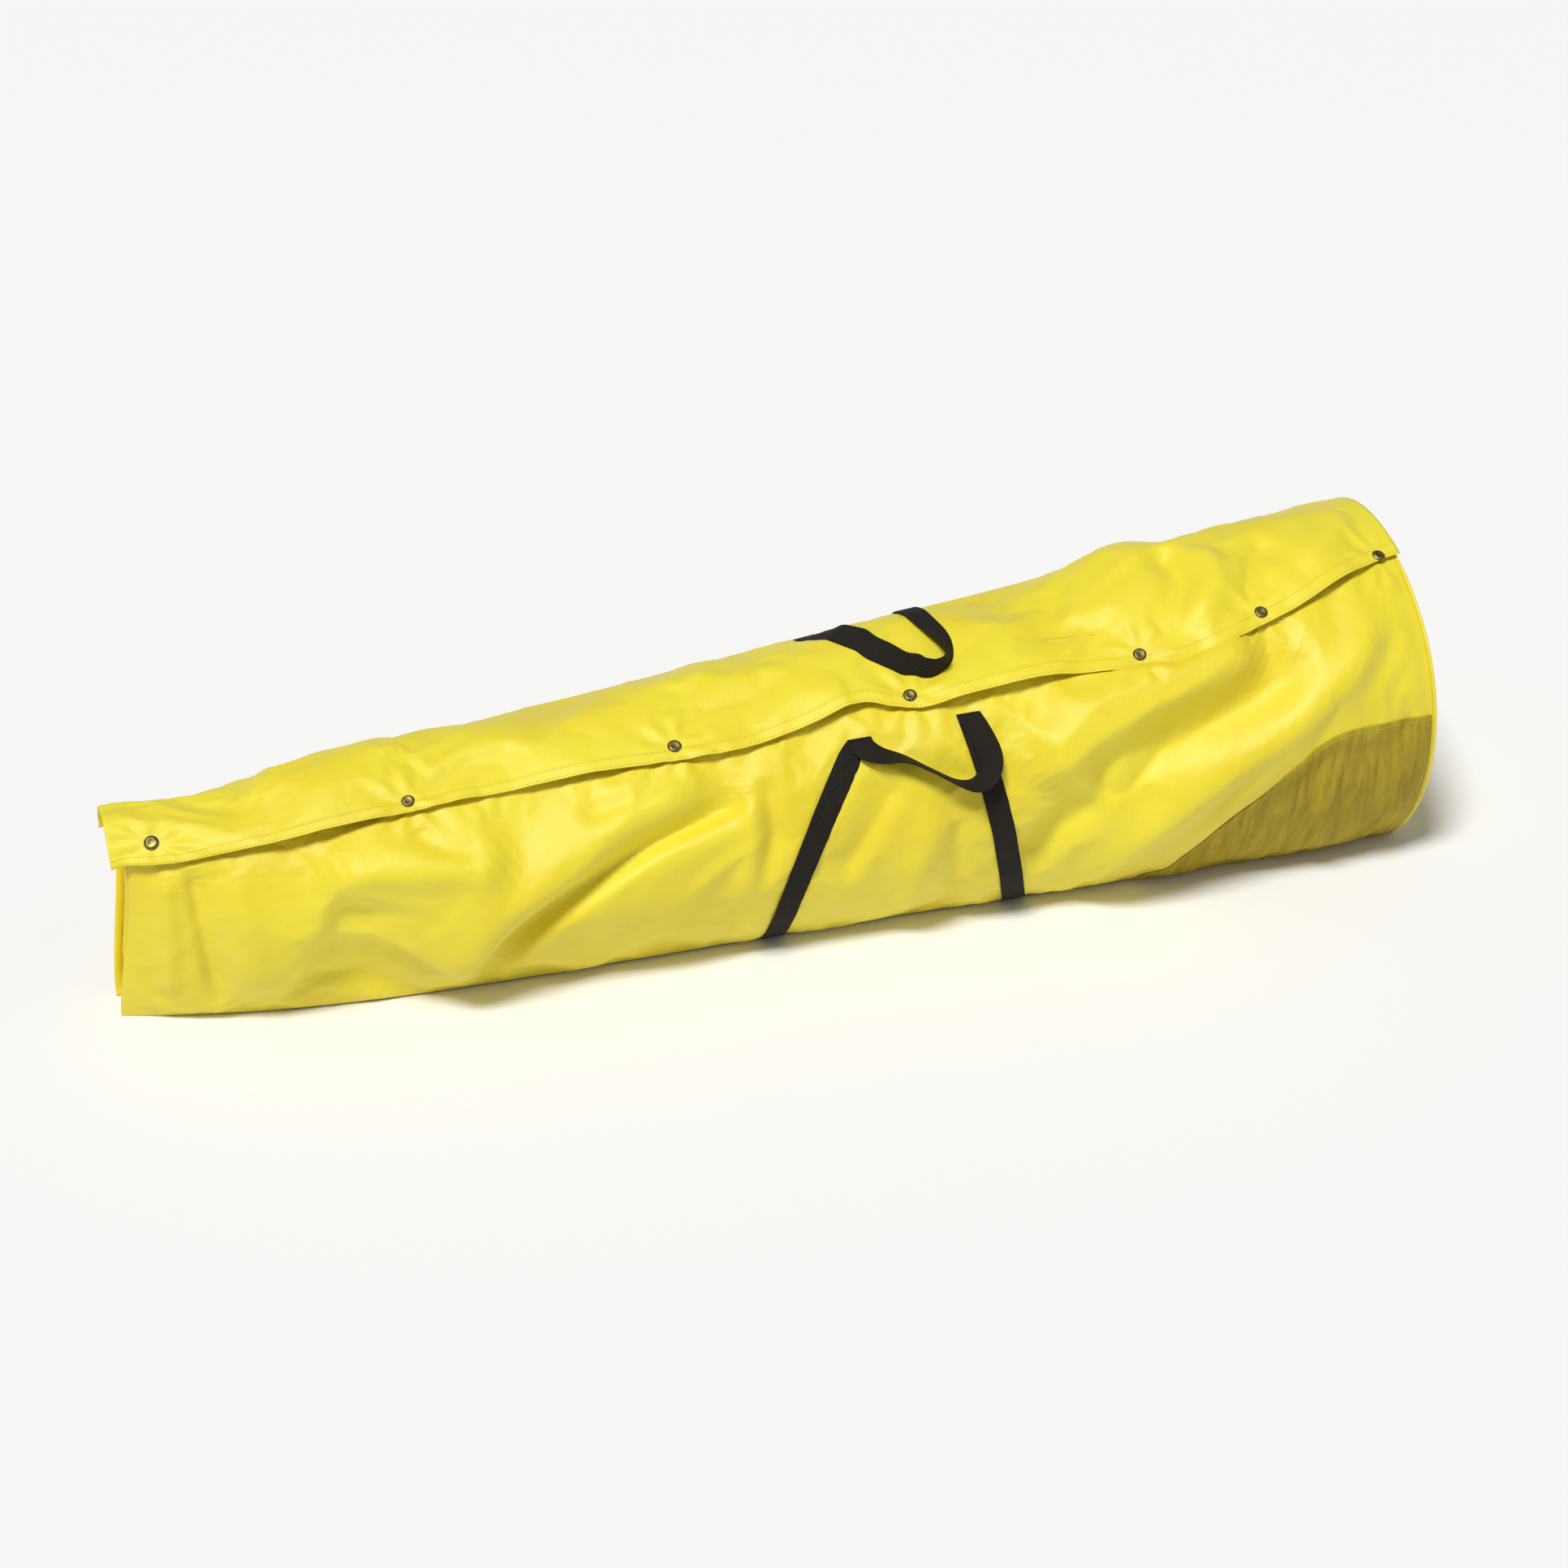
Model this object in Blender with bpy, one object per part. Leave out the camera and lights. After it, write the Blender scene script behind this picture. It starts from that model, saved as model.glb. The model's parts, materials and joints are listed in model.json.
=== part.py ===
"""Windsock and sectional pole packed in a tapered carrying bag, in metres, +Z up.

The bag lies on its base with its length along X: narrow end at -X, wide end at +X, front face
towards -Y. The origin is on the floor, under the middle of the bag.
"""

import math

import bmesh
import bpy
import numpy as np
from mathutils import Matrix, Vector

# Overall sizes of the bag
BAG_LENGTH = 1.37
NARROW_HEIGHT = 0.226
NARROW_DEPTH = 0.060
WIDE_HEIGHT = 0.326
WIDE_DEPTH = 0.362
# Along the bag: share of its length, then how far the height and the depth have grown from the
# narrow end's to the wide end's
TAPER = [
    (0.00, 0.00, 0.00),
    (0.04, -0.06, 0.20),
    (0.10, -0.04, 0.43),
    (0.20, 0.10, 0.61),
    (0.35, 0.20, 0.70),
    (0.50, 0.34, 0.76),
    (0.65, 0.58, 0.85),
    (0.80, 0.84, 0.95),
    (0.92, 1.00, 1.00),
    (1.00, 0.92, 0.94),
]
BELLY_SHARE = 0.46  # height of the deepest point of a section
BASE_ANGLE = math.radians(52)  # below the horizontal, from a section's centre to its base corner
FOLD_ANGLE = math.radians(128)  # where the flap folds off the back panel
FOLD_STATIONS = (0.15, 0.90)  # the straight fold line passes through the sections here

# Cloth, webbing and the gaps that sewn pieces keep in the model
CLOTH = 0.0020
WEBBING = 0.0016
WEBBING_WIDTH = 0.025
GAP = 0.0004
TUCK_REACH = 0.050  # height over which the cloth settles back beside the webbing
TUCK_RAMP = 0.015

# Flap: its free edge, as a share of the length and the angle round the section
FLAP_EDGE = [(0.00, 47.0), (0.10, 52.0), (0.30, 57.0), (0.60, 56.0), (0.78, 50.5), (0.90, 58.0), (1.00, 71.0)]
FLAP_OVERHANG_NARROW = 0.014
FLAP_OVERHANG_WIDE = 0.004
FLAP_OVERLAP = 0.045  # how far the front panel reaches up behind the flap
FLAP_LIFT = 0.0035  # room for the closed snaps between the flap and the front panel
FOLD_LIFT = 0.0010  # the flap's height over the bag at its fold
FOLD_CLEARANCE = 0.0013

# Snap fasteners
SNAP_SHARES = (0.0215, 0.205, 0.406, 0.589, 0.768, 0.870, 0.984)
SNAP_INSET = 0.013  # from the flap's free edge to the snap's centre
SNAP_PAD = 0.009  # half of the flat patch round each snap
SNAP_CAP_RADIUS = 0.0075
SNAP_FLANGE_RADIUS = 0.0056
SNAP_SHANK_RADIUS = 0.0020
SNAP_HOLE_RADIUS = 0.0024
SNAP_STUD_RADIUS = 0.0029
SNAP_CLEARANCE = 0.0004
SNAP_SIDES = 12

# End panels
NARROW_END_RECESS = 0.008
WIDE_END_BULGE = 0.012
END_GAP = 0.0008

# Dark wear patch on the lower front of the wide end. Its upper edge follows the waist, and its
# slanted edge climbs from the first share at the base to the second at the waist
WAIST_ANGLE = math.radians(13)
PATCH_SLANT = (0.765, 0.905)
PATCH_END = 0.994
PATCH_THICKNESS = 0.0010

# Webbing straps: share of the length at the base and at the top, front and back, and how strongly
# the front run bows sideways between them
STRAP_LEFT = {"base": 0.476, "top": 0.543, "bow": 1.35}
STRAP_RIGHT = {"base": 0.673, "top": 0.628, "bow": -0.5}
STRAP_FRONT_TOP = math.radians(49.5)
STRAP_BACK_TOP = 0.012  # below the fold line
HANDLE_GAP = 0.0006  # between a handle and what it lies on

# Front handle: share of the length, angle round the section, how far the webbing has turned from
# flat (0) to standing on its edge (90), and its height over what it lies on
FRONT_HANDLE_PATH = [
    (0.543, 48.0, 0, 0.0),
    (0.545, 44.5, 8, 0.0),
    (0.554, 40.5, 35, 0.0),
    (0.571, 37.0, 65, 0.0),
    (0.589, 31.0, 78, 0.0),
    (0.608, 24.5, 78, 0.0),
    (0.622, 22.5, 60, 0.0005),
    (0.633, 25.5, 35, 0.0005),
    (0.637, 32.0, 10, 0.0005),
    (0.633, 41.0, 2, 0.0),
    (0.628, 48.0, 0, 0.0),
]
# Rear handle, lying forward over the flap: share, distance ahead of the fold, turn and height
REAR_HANDLE_PATH = [
    (0.543, 0.012, 0, 0.0),
    (0.548, 0.040, -8, 0.0),
    (0.557, 0.078, -22, 0.0),
    (0.572, 0.112, -40, 0.0),
    (0.590, 0.143, -55, 0.0),
    (0.608, 0.160, -75, 0.0),
    (0.620, 0.160, -88, 0.0),
    (0.626, 0.146, -62, 0.0),
    (0.626, 0.118, -24, 0.0),
    (0.622, 0.080, -8, 0.0),
    (0.622, 0.040, -2, 0.0),
    (0.622, 0.012, 0, 0.0),
]

# Building
CUTTER_DEPTH = 0.012  # of the snap holes' cutters
COLUMN_STEP = 0.075
WELD = 1e-6
SAME_PLACE = 1e-9
BACK_MARKS = (0.04, 0.08)  # extra columns near the narrow end, as shares of the length
DOMED_RINGS = (1.0, 0.85, 0.6, 0.3)
FLAT_RINGS = (1.0, 0.5)
RIM_BEVEL = 0.001

# Snap details
SNAP_CAP_RISE = 0.0024
SNAP_PLATE = 0.0005
SNAP_RIM = 0.0006
SNAP_BACK = 0.0008

# Sectional pole
POLE_RADIUS = 0.015
POLE_WALL = 0.0015
POLE_NARROW_ROOM = 0.140  # from the bag's narrow end to the tubes
POLE_WIDE_ROOM = 0.110
POLE_SIDES = 16
SPIGOT_LENGTH = 0.065
SPIGOT_SHOULDER = 0.004
SPIGOT_CHAMFER = 0.002
SPIKE_TIP = 0.2  # share of the spike's radius
SPIKE_SHOULDER = 0.55  # share of the spike's length
SPINDLE_CAP = 0.005
COLLAR_LIP = 0.003
COLLAR_LIP_HEIGHT = 0.005
BUNDLE_TAIL_SIZE = 0.25
SPIKE_LENGTH = 0.085
SPIKE_RADIUS = 0.007
SPINDLE_RADIUS = 0.0047
SPINDLE_HEAD = 0.0075
COLLAR_RADIUS = 0.0100
COLLAR_LENGTH = 0.022
FIT = 0.0003  # clearance of a spigot in its tube

# Throat frame that holds the windsock's mouth open
HOOP_ROD = 0.004
HOOP_CLEARANCE = 0.006
HOOP_SEGMENTS = 32
MOUTH_HOOP_SHARE = 0.950
REAR_HOOP_SHARE = 0.740
STAY_ROD = 0.003
STAY_ANGLES = (40, 140, 220, 320)
SLEEVE_RADIUS = 0.008
SLEEVE_BORE = 0.0052
SLEEVE_LENGTH = 0.080

# Windsock cloth, gathered behind the frame
BUNDLE_TAIL = 0.105  # share of the bag's length where the cloth's tail lies
BUNDLE_SIDES = 16
BUNDLE_SAG = 1.15  # over 1, the gathered cloth has a flat underside
BUNDLE_SIDE_ROOM = 0.030
BUNDLE_TOP_ROOM = 0.045

COLOURS = {
    "bag_cloth": ((0.86, 0.71, 0.055), 0.42, 0.0),
    "flap_cloth": ((0.88, 0.74, 0.065), 0.42, 0.0),
    "patch_cloth": ((0.30, 0.22, 0.05), 0.60, 0.0),
    "webbing": ((0.018, 0.014, 0.011), 0.85, 0.0),
    "snap_metal": ((0.34, 0.29, 0.12), 0.38, 1.0),
    "pole_aluminium": ((0.72, 0.73, 0.75), 0.35, 1.0),
    "frame_steel": ((0.50, 0.51, 0.52), 0.40, 1.0),
    "windsock_cloth": ((0.85, 0.20, 0.03), 0.70, 0.0),
}


def clear_scene():
    for obj in list(bpy.data.objects):
        bpy.data.objects.remove(obj, do_unlink=True)


def material(name):
    """The named finish, made on first use."""
    found = bpy.data.materials.get(name)
    if found:
        return found
    colour, roughness, metallic = COLOURS[name]
    made = bpy.data.materials.new(name)
    made.use_nodes = True
    shader = made.node_tree.nodes["Principled BSDF"]
    shader.inputs["Base Color"].default_value = (*colour, 1.0)
    shader.inputs["Roughness"].default_value = roughness
    shader.inputs["Metallic"].default_value = metallic
    return made


def add_object(name, mesh, finish):
    obj = bpy.data.objects.new(name, mesh)
    bpy.context.scene.collection.objects.link(obj)
    mesh.materials.append(material(finish))
    return obj


def mesh_from(name, points, faces):
    mesh = bpy.data.meshes.new(name)
    mesh.from_pydata([tuple(p) for p in points], [], faces)
    mesh.validate()
    return mesh


# ---------------------------------------------------------------- shape of the bag


def smooth(table, share, column):
    """A table's column at this share, on a smooth curve through its rows that never overshoots."""
    xs = np.array([row[0] for row in table], float)
    ys = np.array([row[column] for row in table], float)
    steps = np.diff(xs)
    slopes = np.diff(ys) / steps
    tangents = np.concatenate([[slopes[0]], (slopes[1:] + slopes[:-1]) / 2, [slopes[-1]]])
    tangents[1:-1][slopes[1:] * slopes[:-1] <= 0] = 0
    share = min(max(share, xs[0]), xs[-1])
    i = min(max(int(np.searchsorted(xs, share)) - 1, 0), len(steps) - 1)
    t = (share - xs[i]) / steps[i]
    blend = t * t * (3 - 2 * t)
    rise = t * (1 - t) ** 2 * tangents[i] - t * t * (1 - t) * tangents[i + 1]
    return float(ys[i] + blend * (ys[i + 1] - ys[i]) + rise * steps[i])


def x_at(share):
    return (share - 0.5) * BAG_LENGTH


def share_at(x):
    return x / BAG_LENGTH + 0.5


def bag_height(x):
    return NARROW_HEIGHT + smooth(TAPER, share_at(x), 1) * (WIDE_HEIGHT - NARROW_HEIGHT)


def bag_depth(x):
    return NARROW_DEPTH + smooth(TAPER, share_at(x), 2) * (WIDE_DEPTH - NARROW_DEPTH)


def plain_point(x, angle):
    """(y, z) on a section before it is eased to the fold line. Angle 0 is the front, 90 the top."""
    height = bag_height(x)
    belly = BELLY_SHARE * height
    reach = height - belly if math.sin(angle) > 0 else belly / math.sin(BASE_ANGLE)
    return np.array([-bag_depth(x) / 2 * math.cos(angle), belly + reach * math.sin(angle)])


def fold_point(x):
    """(y, z) of the straight line that the flap folds on."""
    first, second = (x_at(share) for share in FOLD_STATIONS)
    a, b = plain_point(first, FOLD_ANGLE), plain_point(second, FOLD_ANGLE)
    return a + (b - a) * (x - first) / (second - first)


def tuck(x):
    """How far the cloth is lifted over the webbing under the bag, from 0 to 1."""
    most = 0.0
    for strap in (STRAP_LEFT, STRAP_RIGHT):
        beside = abs(x - x_at(strap["base"])) - WEBBING_WIDTH / 2 - 2 * GAP
        most = max(most, min(1.0, 1 - beside / TUCK_RAMP))
    return most


def surface(x, angle, out=0.0):
    """The point of the bag's outside at x and this angle, moved outwards by out."""

    def section(at):
        ease = max(0.0, math.cos(at - FOLD_ANGLE)) ** 2
        y, z = plain_point(x, at) + ease * (fold_point(x) - plain_point(x, FOLD_ANGLE))
        lift = (WEBBING + 2 * GAP) * tuck(x) * max(0.0, 1 - z / TUCK_REACH)
        return np.array([y, z + lift])

    step = 1e-4
    along = section(angle + step) - section(angle - step)
    outward = np.array([-along[1], along[0]]) / np.linalg.norm(along)
    y, z = section(angle) + out * outward
    return Vector((x, y, z))


def outward_at(x, angle):
    """The unit normal of the bag's outside."""
    step = 1e-3
    along = surface(x + step, angle) - surface(x - step, angle)
    around = surface(x, angle + step) - surface(x, angle - step)
    return along.cross(around).normalized()


def angle_after(x, angle, distance):
    """The angle that lies this far along the section, towards the back when distance is positive."""
    turn = math.copysign(math.radians(0.5), distance)
    left = abs(distance)
    here = surface(x, angle)
    while True:
        there = surface(x, angle + turn)
        run = (there - here).length
        if run >= left:
            return angle + turn * left / run
        angle, here, left = angle + turn, there, left - run


def flap_edge(x):
    return math.radians(smooth(FLAP_EDGE, share_at(x), 1))


def snap_places():
    return [x_at(share) for share in SNAP_SHARES]


# ---------------------------------------------------------------- builders


def columns(start, end, marks=(), step=COLUMN_STEP):
    """x values from start to end, with one at each of these marks and at each side of both straps."""
    count = max(2, round((end - start) / step))
    half = WEBBING_WIDTH / 2 + 2 * GAP
    fixed = [start, end, *marks]
    for share in (STRAP_LEFT["base"], STRAP_RIGHT["base"]):
        fixed += [x_at(share) + side for side in (-half - TUCK_RAMP, -half, half, half + TUCK_RAMP)]
    fixed = sorted(v for v in fixed if start <= v <= end)
    free = [v for v in np.linspace(start, end, count + 1) if min(abs(v - f) for f in fixed) > step / 4]
    return sorted(fixed + free)


def snap_sides():
    """x at each side of the flat patch round every snap."""
    return [x + side for x in snap_places() for side in (-SNAP_PAD, SNAP_PAD)]


def solid_sheet(name, rows, thickness, finish, side=-1):
    """A sheet through a grid of points, thickened inwards (side -1), outwards (1) or both ways (0)."""
    points = [p for row in rows for p in row]
    width = len(rows[0])
    faces = [
        (i * width + j, (i + 1) * width + j, (i + 1) * width + j + 1, i * width + j + 1)
        for i in range(len(rows) - 1)
        for j in range(width - 1)
    ]
    mesh = mesh_from(name, points, faces)
    obj = add_object(name, mesh, finish)
    thicken = obj.modifiers.new("thickness", "SOLIDIFY")
    thicken.thickness = thickness
    thicken.offset = side
    thicken.use_even_offset = True
    mesh.shade_smooth()
    return obj


def turned(name, profile, origin, axis, finish, sides):
    """A solid of revolution from (radius, height) points along axis, listed from top to bottom."""
    shape = bmesh.new()
    ring = [shape.verts.new((radius, 0, height)) for radius, height in profile]
    edges = [shape.edges.new(pair) for pair in zip(ring[:-1], ring[1:])]
    bmesh.ops.spin(
        shape, geom=ring + edges, cent=(0, 0, 0), axis=(0, 0, 1), angle=2 * math.pi, steps=sides
    )
    bmesh.ops.remove_doubles(shape, verts=shape.verts, dist=WELD)
    bmesh.ops.dissolve_degenerate(shape, edges=shape.edges, dist=WELD)
    bmesh.ops.recalc_face_normals(shape, faces=shape.faces)
    mesh = bpy.data.meshes.new(name)
    shape.to_mesh(mesh)
    shape.free()
    obj = add_object(name, mesh, finish)
    obj.matrix_world = Matrix.Translation(origin) @ Vector(axis).to_track_quat("Z", "Y").to_matrix().to_4x4()
    mesh.shade_smooth()
    mesh.set_sharp_from_angle(angle=math.radians(35))
    return obj


def rod(name, start, end, radius, finish, sides):
    length = (end - start).length
    profile = [(0, length), (radius, length), (radius, 0), (0, 0)]
    return turned(name, profile, start, end - start, finish, sides)


def webbing_strip(name, centres, acrosses):
    """A strip of webbing along centres, whose width lies along acrosses."""
    half = WEBBING_WIDTH / 2
    rows = [[c - a * half, c + a * half] for c, a in zip(centres, acrosses)]
    return solid_sheet(name, rows, WEBBING, "webbing", side=0)


def cut_holes(obj, places, radius):
    """Round holes through obj at each (point, direction)."""
    shape = bmesh.new()
    for point, direction in places:
        turn = Vector(direction).to_track_quat("Z", "Y").to_matrix().to_4x4()
        bmesh.ops.create_cone(
            shape, cap_ends=True, segments=SNAP_SIDES, radius1=radius, radius2=radius, depth=CUTTER_DEPTH,
            matrix=Matrix.Translation(point) @ turn,
        )
    mesh = bpy.data.meshes.new(obj.name + "_holes")
    shape.to_mesh(mesh)
    shape.free()
    cutter = bpy.data.objects.new(obj.name + "_holes", mesh)
    bpy.context.scene.collection.objects.link(cutter)
    cutter.hide_render = True
    cutter.display_type = "WIRE"
    cut = obj.modifiers.new("snap holes", "BOOLEAN")
    cut.object = cutter
    cut.operation = "DIFFERENCE"
    cut.solver = "EXACT"


# ---------------------------------------------------------------- bag


def snap_rows(x):
    """Angles of the rows round the snaps, upwards from the flap's free edge."""
    edge = flap_edge(x)
    return [
        edge,
        angle_after(x, edge, SNAP_INSET - SNAP_PAD),
        angle_after(x, edge, SNAP_INSET + SNAP_PAD),
        angle_after(x, edge, FLAP_OVERLAP),
    ]


def lower_rows(x):
    """Angles of the front's rows from the base to the waist."""
    return list(np.linspace(-BASE_ANGLE + math.radians(0.5), WAIST_ANGLE, 6))


def front_rows(x):
    """Angles of the front panel's rows at x."""
    upper = snap_rows(x)
    return lower_rows(x) + list(np.linspace(WAIST_ANGLE, upper[0], 5)[1:]) + upper[1:]


def back_rows(x):
    """Angles of the back panel's rows at x."""
    top = angle_after(x, FOLD_ANGLE, FOLD_CLEARANCE)
    return list(np.linspace(top, math.pi + BASE_ANGLE - math.radians(0.5), 10))


def snap_pad(x):
    """Centre and outward normal of the flat patch of cloth round the snap at x."""
    corners = []
    for side in (-SNAP_PAD, SNAP_PAD):
        low, high = snap_rows(x + side)[1:3]
        corners += [surface(x + side, low), surface(x + side, high)]
    low_left, high_left, low_right, high_right = corners
    normal = (high_right - low_left).cross(high_left - low_right).normalized()
    return sum(corners, Vector()) / 4, normal


def snap_holes(lift):
    return [(centre + normal * lift, normal) for centre, normal in map(snap_pad, snap_places())]


def panel_columns():
    narrow = -BAG_LENGTH / 2
    return columns(narrow, BAG_LENGTH / 2, [*snap_sides(), narrow + NARROW_END_RECESS])


def make_front_panel():
    rows = [[surface(x, a) for a in front_rows(x)] for x in panel_columns()]
    panel = solid_sheet("front_panel", rows, CLOTH, "bag_cloth")
    cut_holes(panel, snap_holes(0), SNAP_HOLE_RADIUS)
    return panel


def make_back_panel():
    narrow = -BAG_LENGTH / 2
    marks = [narrow + NARROW_END_RECESS, *(x_at(share) for share in BACK_MARKS)]
    rows = [[surface(x, a) for a in back_rows(x)] for x in columns(narrow, BAG_LENGTH / 2, marks)]
    return solid_sheet("back_panel", rows, CLOTH, "bag_cloth")


def make_base_panel():
    rows = []
    end = BAG_LENGTH / 2 - CLOTH - 2 * GAP
    for x in columns(-end + NARROW_END_RECESS, end):
        front, back = surface(x, -BASE_ANGLE), surface(x, math.pi + BASE_ANGLE)
        inset = 2 * CLOTH
        rows.append([Vector((x, front.y + inset, front.z)), Vector((x, back.y - inset, back.z))])
    return solid_sheet("base_panel", rows, CLOTH, "bag_cloth", side=1)


def end_outline(x):
    """The inside of the bag at x, from the front base corner over the top to the back one."""
    front, back = front_rows(x), back_rows(x)
    over = list(np.linspace(front[-1], back[0], 5)[1:-1])
    outline = [surface(x, a, -CLOTH - END_GAP) for a in front + over + back]
    for point in outline:
        point.z = max(point.z, CLOTH + END_GAP)
    return outline


def make_end_panel(name, x, bulge, outwards):
    """A sheet across the end of the bag, domed outwards by bulge."""
    outline = end_outline(x)
    centre = sum(outline, Vector()) / len(outline)
    rings = DOMED_RINGS if bulge else FLAT_RINGS
    points = []
    for ring in rings:
        dome = bulge * (1 - ring * ring)
        points += [centre.lerp(p, ring) + Vector((outwards * dome, 0, 0)) for p in outline]
    points.append(centre + Vector((outwards * bulge, 0, 0)))
    count = len(outline)
    faces = []
    for ring in range(len(rings) - 1):
        for i in range(count):
            j = (i + 1) % count
            faces.append((ring * count + i, ring * count + j, (ring + 1) * count + j, (ring + 1) * count + i))
    last = (len(rings) - 1) * count
    faces += [(last + i, last + (i + 1) % count, len(points) - 1) for i in range(count)]
    mesh = mesh_from(name, points, faces)
    shape = bmesh.new()
    shape.from_mesh(mesh)
    bmesh.ops.recalc_face_normals(shape, faces=shape.faces)
    if sum(face.normal.x for face in shape.faces) * outwards < 0:
        bmesh.ops.reverse_faces(shape, faces=shape.faces)
    shape.to_mesh(mesh)
    shape.free()
    panel = add_object(name, mesh, "bag_cloth")
    thicken = panel.modifiers.new("thickness", "SOLIDIFY")
    thicken.thickness = CLOTH
    thicken.offset = -1
    return panel


def make_corner_patch():
    first, last = x_at(PATCH_SLANT[0]), x_at(PATCH_END)
    stations = [first, *(x for x in panel_columns() if first < x < last), last]
    rows = [[surface(x, a, GAP) for a in lower_rows(x)] for x in stations]
    patch = solid_sheet("corner_patch", rows, PATCH_THICKNESS, "patch_cloth", side=1)
    foot, top = surface(first, -BASE_ANGLE), surface(x_at(PATCH_SLANT[1]), WAIST_ANGLE)
    slant = Vector((top.z - foot.z, 0, foot.x - top.x))
    shape = bmesh.new()
    shape.from_mesh(patch.data)
    everything = shape.verts[:] + shape.edges[:] + shape.faces[:]
    bmesh.ops.bisect_plane(shape, geom=everything, plane_co=foot, plane_no=slant, clear_inner=True)
    shape.to_mesh(patch.data)
    shape.free()
    return patch


def flap_lift(x, angle):
    """The flap's height over the bag: level round the snaps, then falling to the fold."""
    level = snap_rows(x)[-1]
    share = max(0.0, (angle - level) / (FOLD_ANGLE - level))
    return FLAP_LIFT + (FOLD_LIFT - FLAP_LIFT) * share


def make_flap():
    """The flap's cloth, parallel to the front panel at each snap."""
    start, end = -BAG_LENGTH / 2 - FLAP_OVERHANG_NARROW, BAG_LENGTH / 2 + FLAP_OVERHANG_WIDE
    rows = []
    for x in columns(start, end, [*snap_sides(), -BAG_LENGTH / 2]):
        lower = snap_rows(x)
        angles = lower + list(np.linspace(lower[-1], FOLD_ANGLE, 6)[1:])
        row = [surface(x, a, flap_lift(x, a)) for a in angles]
        for snap in snap_places():
            if abs(abs(x - snap) - SNAP_PAD) < SAME_PLACE:
                row[1:3] = [surface(x, a) + snap_pad(snap)[1] * FLAP_LIFT for a in angles[1:3]]
        rows.append(row)
    flap = solid_sheet("flap", rows, CLOTH, "flap_cloth", side=1)
    cut_holes(flap, snap_holes(FLAP_LIFT), SNAP_HOLE_RADIUS)
    return flap


def make_snap(number, x):
    """The cap riveted to its socket on the flap, and the stud riveted to its post on the panel."""
    shank, flange, gap = SNAP_SHANK_RADIUS, SNAP_FLANGE_RADIUS, SNAP_CLEARANCE
    post, out = snap_pad(x)
    plate = SNAP_PLATE
    mouth, roof = -FLAP_LIFT + 2 * gap + SNAP_RIM, -gap - plate
    cap = [
        (0, CLOTH + gap + SNAP_CAP_RISE),
        (0.6 * SNAP_CAP_RADIUS, CLOTH + gap + SNAP_CAP_RISE * 5 / 6),
        (0.9 * SNAP_CAP_RADIUS, CLOTH + gap + SNAP_CAP_RISE / 2),
        (SNAP_CAP_RADIUS, CLOTH + gap),
        (shank, CLOTH + gap),
        (shank, -gap),
        (flange, -gap),
        (flange, mouth),
        (SNAP_STUD_RADIUS + gap, mouth),
        (SNAP_STUD_RADIUS + gap, roof),
        (0, roof),
    ]
    turned(f"snap_cap_{number}", cap, post + out * FLAP_LIFT, out, "snap_metal", SNAP_SIDES)
    stud = [
        (0, FLAP_LIFT + roof - gap),
        (SNAP_STUD_RADIUS, FLAP_LIFT + roof - gap),
        (SNAP_STUD_RADIUS, gap + plate),
        (flange, gap + plate),
        (flange, gap),
        (shank, gap),
        (shank, -CLOTH - gap),
        (flange, -CLOTH - gap),
        (flange, -CLOTH - gap - SNAP_BACK),
        (0, -CLOTH - gap - SNAP_BACK),
    ]
    turned(f"snap_stud_{number}", stud, post, out, "snap_metal", SNAP_SIDES)


def strap_run(strap, angle, front):
    """x of a strap's middle at this angle: straight up the back, bowed on the front."""
    base, top = x_at(strap["base"]), x_at(strap["top"])
    start = -BASE_ANGLE if front else math.pi + BASE_ANGLE
    end = STRAP_FRONT_TOP if front else FOLD_ANGLE
    share = max(0.0, min(1.0, (angle - start) / (end - start)))
    if front:
        share -= strap["bow"] * share * (1 - share)
    return base + (top - base) * share


def make_strap(name, strap):
    """One length of webbing: down the front, under the base and up the back."""
    half = WEBBING_WIDTH / 2
    rows = []

    def across(x, angle):
        return [surface(x - half, angle, GAP), surface(x + half, angle, GAP)]

    base, top = x_at(strap["base"]), x_at(strap["top"])
    front = [a for a in front_rows(top) if a < STRAP_FRONT_TOP]
    for angle in [STRAP_FRONT_TOP, *reversed(front), -BASE_ANGLE]:
        rows.append(across(strap_run(strap, angle, True), angle))
    under = surface(base, -BASE_ANGLE).z - GAP
    inset = 2 * CLOTH
    for y in (surface(base, -BASE_ANGLE).y + inset, surface(base, math.pi + BASE_ANGLE).y - inset):
        rows.append([Vector((base - half, y, under)), Vector((base + half, y, under))])
    back_top = angle_after(top, FOLD_ANGLE, STRAP_BACK_TOP)
    back = [a for a in back_rows(top) if a > back_top]
    for angle in [math.pi + BASE_ANGLE, *reversed(back), back_top]:
        rows.append(across(strap_run(strap, angle, False), angle))
    return solid_sheet(name, rows, WEBBING, "webbing", side=1)


def smooth_path(path, count):
    """count points on a smooth curve through path's points."""
    spots = np.array(path, float)
    ends = np.vstack([2 * spots[0] - spots[1], spots, 2 * spots[-1] - spots[-2]])
    made = []
    for t in np.linspace(0, len(spots) - 1, count):
        i = min(int(t), len(spots) - 2)
        u = t - i
        a, b, c, d = ends[i : i + 4]
        made.append(
            0.5 * (2 * b + (c - a) * u + (2 * a - 5 * b + 4 * c - d) * u**2 + (3 * b - a - 3 * c + d) * u**3)
        )
    return made


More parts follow.
